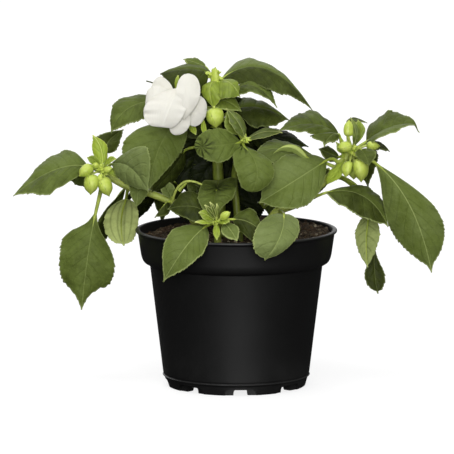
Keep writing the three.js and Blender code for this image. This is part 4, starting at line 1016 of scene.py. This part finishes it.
def add_petiole(tubes, blade, start, young=0.0):
    """A stalk from the stem that runs on as the rib under the blade."""
    route = [blade["start"] or start, *blade["bend"], blade["base"]]
    path = smooth_path(route, 2.0)
    rib = rib_path(blade, 0.93)
    path = np.concatenate([path[:-1], rib])
    joint = len(path) - len(rib)
    steps = np.linalg.norm(np.diff(path, axis=0), axis=1)
    along = np.concatenate([[0], np.cumsum(steps)]) / steps.sum()
    thick = blade["petiole"]
    at_base = along[joint]
    radii = np.interp(
        np.linspace(0, 1, 40), [0, 0.25 * at_base, at_base, 0.5 * (1 + at_base), 1],
        [1.45 * thick, thick, thick * PETIOLE_TAPER, thick * 0.36, 0.16])
    tubes.add(path, radii, young)


# ---------- buds ----------
BUD_SIDES = 24
BUD_ALONG = np.array((0, 0.03, 0.1, 0.2, 0.32, 0.45, 0.57, 0.68, 0.77, 0.85, 0.91, 0.96, 1))
BUD_WIDE = np.array((0.3, 0.58, 0.83, 0.96, 1, 1, 0.95, 0.84, 0.66, 0.42, 0.22, 0.1, 0.03))


def add_bud(shape, base, tip, radius, seed):
    """A plump bud with a beak, wrapped in sepals whose edges stand out a little."""
    base, tip = np.array(base, float), np.array(tip, float)
    axis = unit(tip - base)
    aside = unit(np.cross(axis, Z_UP if abs(axis[2]) < 0.9 else (1, 0, 0)))
    other = np.cross(axis, aside)
    random = np.random.default_rng(seed)
    turn = random.uniform(0, 2 * np.pi)
    steps = np.linspace(0, 1, 22)
    wide = np.interp(steps, BUD_ALONG, BUD_WIDE)
    points, marks = [], []
    for along, share in zip(steps, wide):
        for j in range(BUD_SIDES):
            angle = 2 * np.pi * j / BUD_SIDES
            wrap = ((angle + turn) / (2 * np.pi) * 3 + 0.35 * along) % 1
            fold = 1 - 0.07 * smooth(0.0, 0.16, wrap) * (1 - wrap)
            flat = 1 - 0.1 * math.cos(2 * (angle + turn))
            out = radius * share * fold * flat
            bow = 0.06 * np.linalg.norm(tip - base) * math.sin(math.pi * along)
            points.append(base + (tip - base) * along + aside * (out * math.cos(angle) + bow)
                          + other * out * math.sin(angle))
            marks.append((along, wrap, angle / (2 * np.pi)))
    rings = len(steps)
    faces = []
    for i in range(rings - 1):
        for j in range(BUD_SIDES):
            k = (j + 1) % BUD_SIDES
            faces.append((i * BUD_SIDES + j, i * BUD_SIDES + k,
                          (i + 1) * BUD_SIDES + k, (i + 1) * BUD_SIDES + j))
    faces.append(tuple(range(BUD_SIDES - 1, -1, -1)))
    faces.append(tuple((rings - 1) * BUD_SIDES + j for j in range(BUD_SIDES)))
    shape.add(np.array(points), faces, bud=np.array(marks))


# ---------- finishes ----------
# The near-black below is painted shade: the colour of leaves deep in the plant and of the creases that
# fan out on some leaves.
LEAF_PAINTED_SHADE = srgb(18, 25, 6)
LEAF_DEEP = srgb(59, 68, 22)
LEAF_GREEN = srgb(94, 108, 47)
LEAF_PALE = srgb(122, 135, 83)
LEAF_YOUNG = srgb(150, 170, 54)
VEIN_GREEN = srgb(148, 160, 96)
EDGE_GREEN = srgb(156, 168, 104)
UNDER_GREEN = srgb(92, 104, 52)
UNDER_PALE = srgb(188, 200, 126)
STEM_GREEN = srgb(142, 158, 56)
STEM_LIME = srgb(178, 194, 82)
BUD_GREEN = srgb(172, 192, 60)
BUD_PALE = srgb(228, 235, 146)
PETAL_WHITE = srgb(231, 229, 218)
PETAL_SHADE = srgb(222, 219, 207)


def leaf_finish():
    """Toothed leaves: olive above and pale below, with veins darkened as painted shade in their
    creases, and near-black painted shade on leaves deep in the plant.
    """
    finish = Finish("leaf_blade", Specular_IOR_Level=0.12)
    rib, edge, phase = finish.attribute("vein")
    pitch, along, across = finish.attribute("form")
    shade, under, young = finish.attribute("tone")
    line, turn, far = finish.attribute("mark")
    broad = finish.noise(16, detail=2.0)
    patch = finish.noise(5.5, detail=2.0)
    fine = finish.noise(1.8, detail=4.0)
    vein_line = ((phase.fraction() - 0.5).size() * -1 + 0.5) * pitch
    vein = vein_line.fall(0.1, 0.9) * edge.rise(0.6, 3.0) * rib.rise(0.2, 0.8)
    rib_line = rib.fall(0.15, 0.5) * line
    margin = edge.fall(0.25, 0.85) * (line * 0.7 + 0.3)
    net = finish.cells(2.6).fall(0.0, 0.1)
    ray = ((turn * 5 + (broad - 0.5) * 2.4).fraction() - 0.5).size().fall(0.06, 0.26)
    star = ray * far.fall(3.0, 12.0) * patch.rise(0.25, 0.5)

    # depth runs from the painted-shade near-black through deep and mid green to pale, following each
    # leaf's shade.
    depth = (shade + (broad - 0.5) * 0.42 + (patch - 0.5) * 0.26 + (fine - 0.5) * 0.14).clamp()
    top = finish.mix(depth * 4, LEAF_PAINTED_SHADE, LEAF_DEEP)
    top = finish.mix((depth - 0.25) * 4, top, LEAF_GREEN)
    top = finish.mix((depth - 0.5) * 2, top, LEAF_PALE)
    # Veins darkened as painted shade in their creases.
    top = finish.mix(vein * 0.08 + net * 0.1, top, LEAF_DEEP)
    # Painted shade in the creases that fan out from a leaf's star.
    top = finish.mix(star * 0.75, top, LEAF_PAINTED_SHADE)
    lit = shade.rise(0.05, 0.3)
    top = finish.mix(rib_line * (1 - along * 0.35) * lit, top, VEIN_GREEN)
    top = finish.mix(margin * lit * 0.85, top, EDGE_GREEN)
    below = finish.mix(shade + (broad - 0.5) * 0.5 + (fine - 0.5) * 0.3, UNDER_GREEN, UNDER_PALE)
    # Below, veins darkened as painted shade in their creases.
    below = finish.mix(vein * 0.4 + net * 0.1, below, LEAF_GREEN)
    # Undersides of leaves deep in the plant darkened as painted shade.
    below = finish.mix(shade.rise(0.05, 0.45), LEAF_DEEP, below)
    below = finish.mix(rib.fall(0.15, 0.5) * 0.7, below, UNDER_PALE)
    colour = finish.mix(under, top, below)
    colour = finish.mix(young, colour, LEAF_YOUNG)
    finish.set("Base Color", colour)
    finish.set("Roughness", 0.46 + fine * 0.16 + under * 0.12)
    relief = (patch - 0.5) * 1.7 - vein * 0.35 - star * 1.2 + (fine - 0.5) * 0.3 - net * 0.12
    finish.bump(relief, 0.6, strength=0.9)
    return finish


def young_finish():
    """Young leaves: thin, yellow-green, with pale ribs."""
    finish = Finish("young_leaf", Specular_IOR_Level=0.25, Subsurface_Weight=0.1,
                    Subsurface_Radius=(0.002, 0.003, 0.001), Subsurface_Scale=1.0)
    rib, edge, phase = finish.attribute("vein")
    pitch, along, across = finish.attribute("form")
    shade, under, young = finish.attribute("tone")
    line, turn, far = finish.attribute("mark")
    fine = finish.noise(3.0, detail=3.0)
    patch = finish.noise(4.5, detail=2.0)
    vein_line = ((phase.fraction() - 0.5).size() * -1 + 0.5) * pitch
    vein = vein_line.fall(0.1, 0.4) * edge.rise(0.3, 0.9)
    depth = shade + (fine - 0.5) * 0.3 + (patch - 0.5) * 0.5
    colour = finish.mix(depth * 2, LEAF_DEEP, LEAF_GREEN)
    colour = finish.mix(depth * 1.6 - 0.6, colour, LEAF_YOUNG)
    colour = finish.mix(vein * 0.3, colour, LEAF_GREEN)
    colour = finish.mix(rib.fall(0.1, 0.42) * (line * 0.5 + 0.1), colour, BUD_PALE)
    colour = finish.mix(edge.fall(0.05, 0.3) * (line * 0.4 + 0.15), colour, BUD_PALE)
    colour = finish.mix(under * 0.4, colour, UNDER_PALE)
    finish.set("Base Color", colour)
    finish.set("Roughness", 0.38 + fine * 0.2)
    finish.bump((1 - vein) + (fine - 0.5) * 0.4, 0.25, strength=0.7)
    return finish


def stem_finish():
    """Fleshy stems, almost see-through, with a fine bumpy surface."""
    finish = Finish("stem", Specular_IOR_Level=0.3, Subsurface_Weight=0.12,
                    Subsurface_Radius=(0.003, 0.004, 0.0015), Subsurface_Scale=1.0)
    young, share, distance = finish.attribute("tone")
    broad = finish.noise(9, detail=2.0)
    fine = finish.noise(1.3, detail=3.0)
    colour = finish.mix(broad.rise(0.3, 0.7), STEM_GREEN, STEM_LIME)
    # The first tone number paints a stem paler above 0, the young stalks' own tone and painted light on
    # the shoots' stems, and darker below 0, as painted shade on stems deep in the plant.
    colour = finish.mix(young * 0.6, colour, BUD_PALE)
    colour = finish.mix(young * -1, colour, LEAF_DEEP)
    colour = finish.mix(fine.rise(0.5, 0.8) * 0.4, colour, LEAF_DEEP)
    finish.set("Base Color", colour)
    finish.set("Roughness", 0.34 + fine * 0.2)
    finish.bump(fine + broad * 0.5, 0.25, strength=0.6)
    return finish


def bud_finish():
    """Waxy yellow-green buds with pale edges to their sepals and a darker beak."""
    finish = Finish("bud", Specular_IOR_Level=0.35, Subsurface_Weight=0.15,
                    Subsurface_Radius=(0.003, 0.004, 0.0015), Subsurface_Scale=1.0)
    along, wrap, angle = finish.attribute("bud")
    fine = finish.noise(1.6, detail=3.0)
    colour = finish.mix((fine - 0.3) * 0.6 + wrap * 0.2, BUD_GREEN, BUD_PALE)
    colour = finish.mix(wrap.fall(0.02, 0.12) * 0.5, colour, BUD_PALE)
    colour = finish.mix(wrap.rise(0.88, 1.0) * 0.75, colour, LEAF_GREEN)
    colour = finish.mix(along.fall(0.0, 0.25) * 0.35, colour, LEAF_GREEN)
    colour = finish.mix(along.rise(0.8, 1.0) * 0.5, colour, STEM_GREEN)
    finish.set("Base Color", colour)
    finish.set("Roughness", 0.32 + fine * 0.16)
    finish.bump(fine, 0.15, strength=0.5)
    return finish


def petal_finish():
    """Soft white petals with fine veins that fan out from their foot."""
    finish = Finish("petal", Specular_IOR_Level=0.1, Subsurface_Weight=0.1,
                    Subsurface_Radius=(0.002, 0.002, 0.0015), Subsurface_Scale=1.0)
    rib, edge, phase = finish.attribute("vein")
    pitch, along, across = finish.attribute("form")
    broad = finish.noise(8, detail=2.0)
    fine = finish.noise(1.2, detail=3.0)
    fan = ((across.size() * 9 + (broad - 0.5) * 0.8).fraction() - 0.5).size().fall(0.0, 0.14)
    colour = finish.mix(broad.rise(0.35, 0.75) * 0.5 + along.fall(0.0, 0.45) * 0.5,
                        PETAL_WHITE, PETAL_SHADE)
    colour = finish.mix(fan * 0.12 * along.fall(0.5, 1.0), colour, PETAL_SHADE)
    finish.set("Base Color", colour)
    finish.set("Roughness", 0.55 + fine * 0.2)
    finish.bump(broad * 0.8 + fine * 0.2 - fan * 0.25, 0.5, strength=0.6)
    return finish


def pot_finish():
    """Black moulded plastic: satin, a little dusty low down, with fine upright rubs."""
    finish = Finish("pot_plastic", Specular_IOR_Level=0.45)
    place = finish.place()
    split = finish.tree.nodes.new("ShaderNodeSeparateXYZ")
    finish.tree.links.new(place.socket, split.inputs[0])
    height = Value(finish, split.outputs[2])
    stretched = finish.node("ShaderNodeMapping", {}, place, output="Vector",
                            Scale=(1.0, 1.0, 0.08))
    rubs = finish.noise(1.1, detail=3.0, where=stretched)
    broad = finish.noise(26, detail=3.0)
    grain = finish.noise(0.35, detail=2.0)
    dust = height.fall(0.0, 0.03) * broad.rise(0.35, 0.75)
    colour = finish.mix(broad * 0.6 + rubs * 0.3, srgb(12, 12, 12), srgb(17, 17, 17))
    colour = finish.mix(dust * 0.03, colour, srgb(80, 78, 72))
    finish.set("Base Color", colour)
    finish.set("Roughness", 0.45 + broad * 0.08 + rubs.rise(0.5, 0.8) * 0.08 + dust * 0.2)
    finish.bump(grain * 0.6 + rubs * 0.4, 0.06, strength=0.6)
    return finish


def peat_finish():
    """Moist peat: dark brown with redder and paler bits."""
    finish = Finish("peat", Specular_IOR_Level=0.2)
    broad = finish.noise(9, detail=4.0)
    fine = finish.noise(1.4, detail=5.0)
    grain = finish.cells(1.8, feature="F1", output="Color")
    split = finish.tree.nodes.new("ShaderNodeSeparateXYZ")
    finish.tree.links.new(grain.socket, split.inputs[0])
    chance = Value(finish, split.outputs[0])
    colour = finish.mix(fine.rise(0.3, 0.7), srgb(38, 31, 22), srgb(96, 80, 60))
    colour = finish.mix(broad.rise(0.5, 0.75) * 0.6, colour, srgb(92, 62, 42))
    colour = finish.mix(chance.rise(0.88, 0.96) * 0.5, colour, srgb(150, 136, 110))
    finish.set("Base Color", colour)
    finish.set("Roughness", 0.82 + fine * 0.15)
    finish.bump(fine + chance * 0.3, 0.9)
    return finish


def crumb_finish():
    """Loose bits of peat, bark and chalky grit, each its own shade."""
    finish = Finish("peat_crumb", Specular_IOR_Level=0.2)
    chance, second, third = finish.attribute("bit")
    fine = finish.noise(0.9, detail=4.0)
    colour = finish.mix(chance, srgb(36, 28, 20), srgb(96, 78, 58))
    colour = finish.mix(second.rise(0.8, 0.97), colour, srgb(186, 174, 148))
    colour = finish.mix(fine.rise(0.4, 0.8) * 0.4, colour, srgb(40, 28, 20))
    finish.set("Base Color", colour)
    finish.set("Roughness", 0.8 + fine * 0.15)
    finish.bump(fine, 0.3)
    return finish


def fibre_finish():
    """Dry pale fibres in the peat."""
    finish = Finish("peat_fibre", Roughness=0.7, Specular_IOR_Level=0.25)
    chance, second, third = finish.attribute("bit")
    fine = finish.noise(1.5, detail=2.0)
    colour = finish.mix(chance, srgb(136, 100, 74), srgb(214, 188, 158))
    colour = finish.mix(fine * 0.4, colour, srgb(80, 54, 38))
    finish.set("Base Color", colour)
    return finish


LEAF = leaf_finish()
YOUNG = young_finish()
STEM = stem_finish()
BUD = bud_finish()
PETAL = petal_finish()
POT = pot_finish()
PEAT = peat_finish()
CRUMB = crumb_finish()
FIBRE = fibre_finish()


def keep(piece, slot, *nodes):
    """A finished piece rides on the one body and stands for its CAD nodes."""
    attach(piece, "root")
    if nodes:
        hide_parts(*nodes)
    return piece


# ---------- small shapes that are repeated ----------
def small_shape(name, points, faces):
    mesh = bpy.data.meshes.new(name)
    mesh.from_pydata((np.asarray(points, float) * MM).tolist(), [], faces)
    return bpy.data.objects.new(name, mesh)


def spine_shape():
    """A fine bristle, three-sided, 1 mm long at size 1."""
    ring = [(0.11 * math.cos(a), 0.11 * math.sin(a), -0.15) for a in (0, 2.094, 4.189)]
    return small_shape("spine", [*ring, (0, 0, 1)], [(0, 1, 3), (1, 2, 3), (2, 0, 3), (0, 2, 1)])


def crumb_shape():
    """A lump with uneven sides."""
    random = np.random.default_rng(5)
    points, faces = [(0, 0, -0.5)], []
    for level in (-0.32, 0.05, 0.36):
        for j in range(6):
            angle = 2 * math.pi * (j + 0.3 * level) / 6
            out = 0.5 * math.sqrt(1 - (level / 0.55) ** 2) * random.uniform(0.75, 1.2)
            points.append((out * math.cos(angle), 0.8 * out * math.sin(angle),
                           level * random.uniform(0.8, 1.15)))
    points.append((0, 0, 0.46))
    for j in range(6):
        k = (j + 1) % 6
        faces.append((0, 1 + k, 1 + j))
        faces.append((19, 13 + j, 13 + k))
        for ring in (0, 1):
            a = 1 + 6 * ring
            faces.append((a + j, a + k, a + k + 6, a + j + 6))
    return small_shape("crumb", points, faces)


def fibre_shape():
    """A bent dry fibre, four-sided, 1 mm long at size 1, lying along Z."""
    points, faces = [], []
    steps = 8
    for i in range(steps + 1):
        share = i / steps
        bow = 0.14 * math.sin(math.pi * share) + 0.05 * math.sin(7 * share)
        out = 0.034 * (1 - 0.6 * share)
        for j in range(4):
            angle = math.pi / 2 * j
            points.append((bow + out * math.cos(angle), out * math.sin(angle), share - 0.5))
    for i in range(steps):
        for j in range(4):
            k = (j + 1) % 4
            faces.append((4 * i + j, 4 * i + k, 4 * i + 4 + k, 4 * i + 4 + j))
    faces += [(3, 2, 1, 0), tuple(4 * steps + j for j in range(4))]
    return small_shape("fibre", points, faces)


SPINE = spine_shape()
CRUMB_SHAPE = crumb_shape()
FIBRE_SHAPE = fibre_shape()


# ---------- pot ----------
def rounded(corners, steps=4):
    """An outline whose corners, given with a radius as their third number, are rounded off."""
    outline = []
    for i, (r, z, size) in enumerate(corners):
        here = np.array((r, z))
        if size == 0:
            outline.append(here)
            continue
        before = np.array(corners[i - 1][:2]) - here
        after = np.array(corners[(i + 1) % len(corners)][:2]) - here
        start = here + unit(before) * min(size, 0.45 * np.linalg.norm(before))
        end = here + unit(after) * min(size, 0.45 * np.linalg.norm(after))
        for t in np.linspace(0, 1, steps + 1):
            outline.append((1 - t) ** 2 * start + 2 * t * (1 - t) * here + t * t * end)
    return np.array(outline)


def turned(outline, sides):
    """A body turned round the Z axis; its outline starts and ends on the axis."""
    angles = 2 * np.pi * np.arange(sides) / sides
    ring = np.stack([np.cos(angles), np.sin(angles)], axis=1)
    points = [(0, 0, outline[0][1])]
    for r, z in outline[1:-1]:
        points.extend((r * x, r * y, z) for x, y in ring)
    points.append((0, 0, outline[-1][1]))
    rows = len(outline) - 2
    faces = []
    for j in range(sides):
        k = (j + 1) % sides
        faces.append((0, 1 + k, 1 + j))
        for i in range(rows - 1):
            a, b = 1 + i * sides, 1 + (i + 1) * sides
            faces.append((a + j, a + k, b + k, b + j))
        a = 1 + (rows - 1) * sides
        faces.append((a + j, a + k, len(points) - 1))
    return np.array(points), faces


def pot_body():
    inner = POT_WALL
    corners = [
        (0, 0, 0), (CENTRE_PAD_RADIUS, 0, 0.8), (CENTRE_PAD_RADIUS + 1.6, FLOOR_UNDERSIDE_Z, 0.8),
        (FOOT_INNER_RADIUS - 1.2, FLOOR_UNDERSIDE_Z, 0.8), (FOOT_INNER_RADIUS, 0, 0.8),
        (FOOT_RADIUS, 0, 1.4), (FOOT_RADIUS + 1.2, LEDGE_Z - 1.9, 0.5),
        (BODY_LOW_RADIUS + 0.5, LEDGE_Z - 0.9, 0.3), (BODY_LOW_RADIUS - 0.4, LEDGE_Z - 0.3, 0.2),
        (BODY_LOW_RADIUS + 0.1, LEDGE_Z + 0.6, 0.6), (BODY_TOP_RADIUS, BODY_TOP_Z, 0.8),
        (BAND_LOW_RADIUS - 1.6, BODY_TOP_Z + 0.5, 1.6), (BAND_LOW_RADIUS, BAND_LOW_Z + 1.4, 2.4),
        (BAND_TOP_RADIUS, POT_HEIGHT - LIP_HEIGHT - 0.5, 0.6),
        (POT_RIM_RADIUS, POT_HEIGHT - LIP_HEIGHT, 0.5), (POT_RIM_RADIUS, POT_HEIGHT - 0.5, 0.6),
        (BAND_TOP_RADIUS - 0.2, POT_HEIGHT, 0.9), (BAND_TOP_RADIUS - inner, POT_HEIGHT - 0.4, 0.6), (BAND_LOW_RADIUS - inner, BAND_LOW_Z + 1.6, 2),
        (BODY_TOP_RADIUS - inner, BODY_TOP_Z + 1.4, 2),
        (FOOT_RADIUS - inner, FLOOR_UNDERSIDE_Z + inner, 2), (0, FLOOR_UNDERSIDE_Z + inner, 0),
    ]
    return turned(rounded(corners), POT_SIDES)


def prism(outline, turn, inner, outer):
    """An upright outline drawn outwards through the pot's foot."""
    aside = np.array((-math.sin(turn), math.cos(turn), 0))
    away = np.array((math.cos(turn), math.sin(turn), 0))
    points = [away * (reach + LUG_SLOPE * z) + aside * x + Z_UP * z
              for reach in (inner, outer) for x, z in outline]
    count = len(outline)
    faces = [tuple(range(count))[::-1], tuple(range(count, 2 * count))]
    faces += [(i, (i + 1) % count, (i + 1) % count + count, i + count) for i in range(count)]
    return np.array(points), faces


def arch_outline(top, foot, height):
    """Half an opening and its mirror: upright sides that lean in and round over at the top."""
    half_top, half_foot = top / 2, foot / 2
    right = [(half_foot + 0.4, -1), (half_foot, 0)]
    for t in (0.3, 0.6, 0.85, 1):
        lean = t * t * t
        right.append((half_foot + (half_top - half_foot) * lean, height * (1.3 * t - 0.3 * t * t)))
    return right + [(-x, z) for x, z in right[::-1]]


def pot_cuts():
    """The notches and drain holes as one mesh, and the shallower recesses round the notches."""
    deep, shallow = Shape(), Shape()
    notch = arch_outline(NOTCH_WIDTH - 1.6, NOTCH_WIDTH, NOTCH_HEIGHT)
    recess = arch_outline(LUG_TOP_WIDTH, LUG_FOOT_WIDTH, LUG_HEIGHT)
    sides = [(math.cos(a), math.sin(a)) for a in np.arange(20) * math.pi / 10]
    for i in range(NOTCHES):
        turn = math.radians(FIRST_NOTCH_ANGLE + 360 * i / NOTCHES)
        deep.add(*prism(notch, turn, FOOT_INNER_RADIUS - 3, FOOT_RADIUS + 5))
        shallow.add(*prism(recess, turn, FOOT_RADIUS - LUG_DEPTH, FOOT_RADIUS + 5))
        centre = np.array((math.cos(turn), math.sin(turn), 0)) * DRAIN_HOLE_RING
        low = [centre + np.array((x, y, 0)) * DRAIN_HOLE_RADIUS + Z_UP for x, y in sides]
        high = [point + Z_UP * 8 for point in low]
        faces = [tuple(range(20))[::-1], tuple(range(20, 40))]
        faces += [(j, (j + 1) % 20, (j + 1) % 20 + 20, j + 20) for j in range(20)]
        deep.add(np.array(low + high), faces)
    return deep.build("deep_cuts", POT), shallow.build("shallow_cuts", POT)


def make_pot():
    body = Shape()
    body.add(*pot_body())
    pot = body.build("nursery_pot", POT)
    for cuts in pot_cuts():
        modifier = pot.modifiers.new("cut", "BOOLEAN")
        modifier.operation = "DIFFERENCE"
        modifier.object = cuts
        modifier.solver = "MANIFOLD"
        graph = bpy.context.evaluated_depsgraph_get()
        mesh = bpy.data.meshes.new_from_object(pot.evaluated_get(graph))
        pot.modifiers.remove(modifier)
        pot.data = mesh
        bpy.data.objects.remove(cuts)
    mesh.polygons.foreach_set("use_smooth", [True] * len(mesh.polygons))
    mesh.set_sharp_from_angle(angle=math.radians(40))
    return keep(pot, "pot_plastic", "pot")


# ---------- soil ----------
def ground_height(x, y):
    """Crumbly ground, heaped at the back: long swells with lumps of three sizes on them."""
    swell = SOIL_CRUMB * (
        0.5 * math.sin(0.31 * x + 0.8) * math.cos(0.27 * y)
        + 0.35 * math.sin(0.83 * x - 0.42 * y) + 0.3 * math.cos(0.51 * x + 0.97 * y + 1.3))
    lumps = 0.0
    for grain, depth in ((5.5, 0.9), (2.4, 0.7), (1.2, 0.45)):
        lumps += depth * noise.noise(Vector((x / grain, y / grain, grain)))
    return SOIL_TOP_Z + SOIL_HEAP + SOIL_LEAN[0] * x + SOIL_LEAN[1] * y + swell + lumps


def make_soil():
    rings, spokes = 62, 168
    points = [(0, 0, ground_height(0, 0))]
    for i in range(1, rings + 1):
        radius = SOIL_TOP_RADIUS * (i / rings) ** 0.85
        for j in range(spokes):
            angle = 2 * math.pi * j / spokes
            x, y = radius * math.cos(angle), radius * math.sin(angle)
            points.append((x, y, ground_height(x, y)))
    top = len(points)
    faces = [(0, 1 + j, 1 + (j + 1) % spokes) for j in range(spokes)]
    for i in range(rings - 1):
        a, b = 1 + i * spokes, 1 + (i + 1) * spokes
        for j in range(spokes):
            k = (j + 1) % spokes
            faces.append((a + j, b + j, b + k, a + k))
    places = (np.array(points) * MM).tolist()
    reach = [max(math.hypot(*places[k][:2]) for k in face) / MM for face in faces]
    ground, middle = (bpy.data.meshes.new(kind) for kind in ("crumb_ground", "fibre_ground"))
    for mesh, limit in ((ground, SOIL_TOP_RADIUS - 1.5), (middle, SOIL_TOP_RADIUS - 7)):
        mesh.from_pydata(places, [], [face for face, far in zip(faces, reach) if far < limit])
    for level, radius in ((BODY_TOP_Z + 1.6, 48.5), (FLOOR_UNDERSIDE_Z + 2.2, 38.5)):
        points += [(radius * math.cos(2 * math.pi * j / spokes),
                    radius * math.sin(2 * math.pi * j / spokes), level) for j in range(spokes)]
    rim = top - spokes
    for a, b in ((rim, top), (top, top + spokes)):
        for j in range(spokes):
            k = (j + 1) % spokes
            faces.append((a + j, b + j, b + k, a + k))
    faces.append(tuple(range(top + 2 * spokes - 1, top + spokes - 1, -1)))
    body = Shape()
    body.add(np.array(points, float), faces)
    keep(body.build("peat_soil", PEAT), "peat", "soil")
    keep(CRUMB_GROWTH.run(
        "peat_crumbs", ground, Shape=CRUMB_SHAPE, Density=62000.0, Smallest=0.7, Largest=3.0,
        Lean=1.0, Seed=3, Material=CRUMB.material), "peat")
    keep(CRUMB_GROWTH.run(
        "peat_fibres", middle, Shape=FIBRE_SHAPE, Density=8000.0, Smallest=5.0,
        Largest=13.0, Lean=0.3, Seed=8, Material=FIBRE.material), "peat")


# ---------- plant ----------
def make_shoot(name, shoot, seed):
    blades, tubes = Shape(), Tubes()
    spines = []
    end = tuple(shoot["stem"][-1])
    tubes.add(smooth_path(shoot["stem"], 2.0), np.linspace(*shoot["radii"], 8), shoot["tone"])
    for route, radii in shoot.get("side_stems", ()):
        tubes.add(smooth_path(route, 1.0), radii, shoot["tone"])
    for number, blade in enumerate(shoot["leaves"]):
        add_petiole(tubes, blade, end)
        add_blade(blades, blade, seed + number, spines=spines)
    keep(blades.build(f"{name}_blades", LEAF), "leaf", name)
    keep(tubes.build(f"{name}_stems", STEM), "stem", name)
    carrier = point_carrier(
        f"{name}_spines", [point for point, _ in spines], aim=[aim for _, aim in spines],
        span=[0.7] * len(spines))
    keep(SPINE_GROWTH.run(f"{name}_leaf_bristles", carrier, Shape=SPINE, Material=STEM.material),
         "stem")


def make_tip(name, tip, seed):
    blades, buds, tubes = Shape(), Shape(), Tubes()
    random = np.random.default_rng(seed)
    knot, size = np.array(tip["knot"], float), tip["radius"]
    for number, blade in enumerate(tip["leaves"]):
        add_blade(blades, blade, seed + number)
        tubes.add(rib_path(blade, 0.85), (0.6, 0.15), 0.6)
    for number, (base, end, radius) in enumerate(tip["buds"]):
        base, end = np.array(base, float), np.array(end, float)
        add_bud(buds, base, end, radius, seed + number)
        tubes.add(smooth_path([knot, base, base + 0.15 * (end - base)], 0.8), (0.6, 0.75), 0.5)
    add_bud(buds, knot - Z_UP * size, knot + Z_UP * size, 0.75 * size, seed)
    for number in range(tip["bits"]):
        aim = unit(random.normal(size=3) + np.array((0, -0.6, 0.3)))
        long = random.uniform(0.8, 1.7) * size
        add_bud(buds, knot + aim * 0.5 * size, knot + aim * (0.5 * size + long),
                random.uniform(0.24, 0.42) * size, seed + 20 + number)
    keep(blades.build(f"{name}_leaves", YOUNG), "young_growth", name)
    keep(buds.build(f"{name}_buds", BUD), "young_growth", name)
    keep(tubes.build(f"{name}_stalks", STEM, sides=8), "stem")


def make_bloom():
    petals = Shape()
    for number, petal in enumerate(PETALS):
        add_blade(petals, petal, 300 + number, thickness=PETAL_THICKNESS, detail=1.2)
    add_bud(petals, BLOOM_CENTRE + (0, 3, 0), BLOOM_CENTRE - (0, 4, 0), 4, 1)
    keep(petals.build("bloom_petals", PETAL), "petal", "bloom")


def make_calyx():
    blades, buds, tubes = Shape(), Shape(), Tubes()
    for number, sepal in enumerate(SEPALS):
        add_blade(blades, {**sepal, "tooth": 0.1, "quilt": 0.1, "shade": 1.0}, 400 + number)
    add_bud(buds, CALYX_KNOT + (0, 4.5, 0), CALYX_KNOT - (0, 4.5, 0), CALYX_RADIUS, 7)
    tubes.add(smooth_path(CALYX_STALK, 1.0), (1.0, 1.2), 0.3)
    tubes.add(smooth_path(CALYX_SPUR, 1.0), (1.1, 0.8, 0.5), 0.3)
    tubes.add(smooth_path(CALYX_THREAD, 1.0), (0.7, 0.5, 0.4), -1)
    keep(blades.build("sepals", YOUNG), "stem", "bloom_calyx")
    keep(buds.build("calyx_cup", BUD), "stem", "bloom_calyx")
    keep(tubes.build("bloom_stalk", STEM, sides=10), "stem", "bloom_calyx")


# ---------- the studio ----------
SIDE_LIGHT = 0.03
TOP_LIGHT = 0.58
STUDIO_LIGHTS = (
    ("key", 1.25, 35, (0.16, 0.4, -1.0)),
    ("fill", 2.85, 42, (-0.05, 1.0, -0.16)),
    ("back", 1.1, 60, (0.25, -1.0, -0.5)),
)


def make_studio():
    scene = bpy.context.scene
    scene.view_settings.view_transform = "Standard"
    bpy.ops.mesh.primitive_plane_add(size=80)
    floor = bpy.context.object
    floor.name = "floor"
    floor.visible_diffuse = False
    floor.visible_glossy = False
    pale = Finish("floor_pale", Roughness=0.9, Specular_IOR_Level=0.0, Emission_Strength=0.8)
    pale.set("Base Color", srgb(140, 140, 140))
    pale.set("Emission Color", srgb(255, 255, 255))
    floor.data.materials.append(pale.material)
    world = bpy.data.worlds.new("studio")
    world.use_nodes = True
    nodes, links = world.node_tree.nodes, world.node_tree.links
    direction = nodes.new("ShaderNodeTexCoord")
    parts = nodes.new("ShaderNodeSeparateXYZ")
    level = nodes.new("ShaderNodeMapRange")
    for socket, value in zip(level.inputs[1:5], (0.0, 1.0, SIDE_LIGHT, TOP_LIGHT)):
        socket.default_value = value
    links.new(direction.outputs["Generated"], parts.inputs[0])
    links.new(parts.outputs[2], level.inputs[0])
    links.new(level.outputs[0], nodes["Background"].inputs["Strength"])
    nodes["Background"].inputs["Color"].default_value = (1, 1, 1, 1)
    scene.world = world
    for name, strength, spread, travel in STUDIO_LIGHTS:
        sun = bpy.data.lights.new(name, "SUN")
        sun.energy = strength
        sun.angle = math.radians(spread)
        lamp = bpy.data.objects.new(name, sun)
        lamp.rotation_euler = Vector(travel).to_track_quat("-Z", "Y").to_euler()
        scene.collection.objects.link(lamp)


def make_camera():
    lens, distance, rise = 466.8, 3500, math.radians(8.3)
    target = np.array((-5.5, 0, 94.8))
    away = np.array((0, -math.cos(rise), math.sin(rise)))
    data = bpy.data.cameras.new("camera")
    data.lens = lens
    data.sensor_width = 36
    data.clip_end = 200
    camera = bpy.data.objects.new("camera", data)
    camera.location = Vector((target + away * distance) * MM)
    camera.rotation_euler = Vector(-away).to_track_quat("-Z", "Y").to_euler()
    bpy.context.scene.collection.objects.link(camera)
    bpy.context.scene.camera = camera


make_camera()
make_studio()
make_pot()
make_soil()
for index, (name, shoot) in enumerate(SHOOTS.items()):
    make_shoot(name, shoot, 100 * (index + 1))
for index, (name, tip) in enumerate(TIPS.items()):
    make_tip(name, tip, 1000 + 50 * index)
make_bloom()
make_calyx()
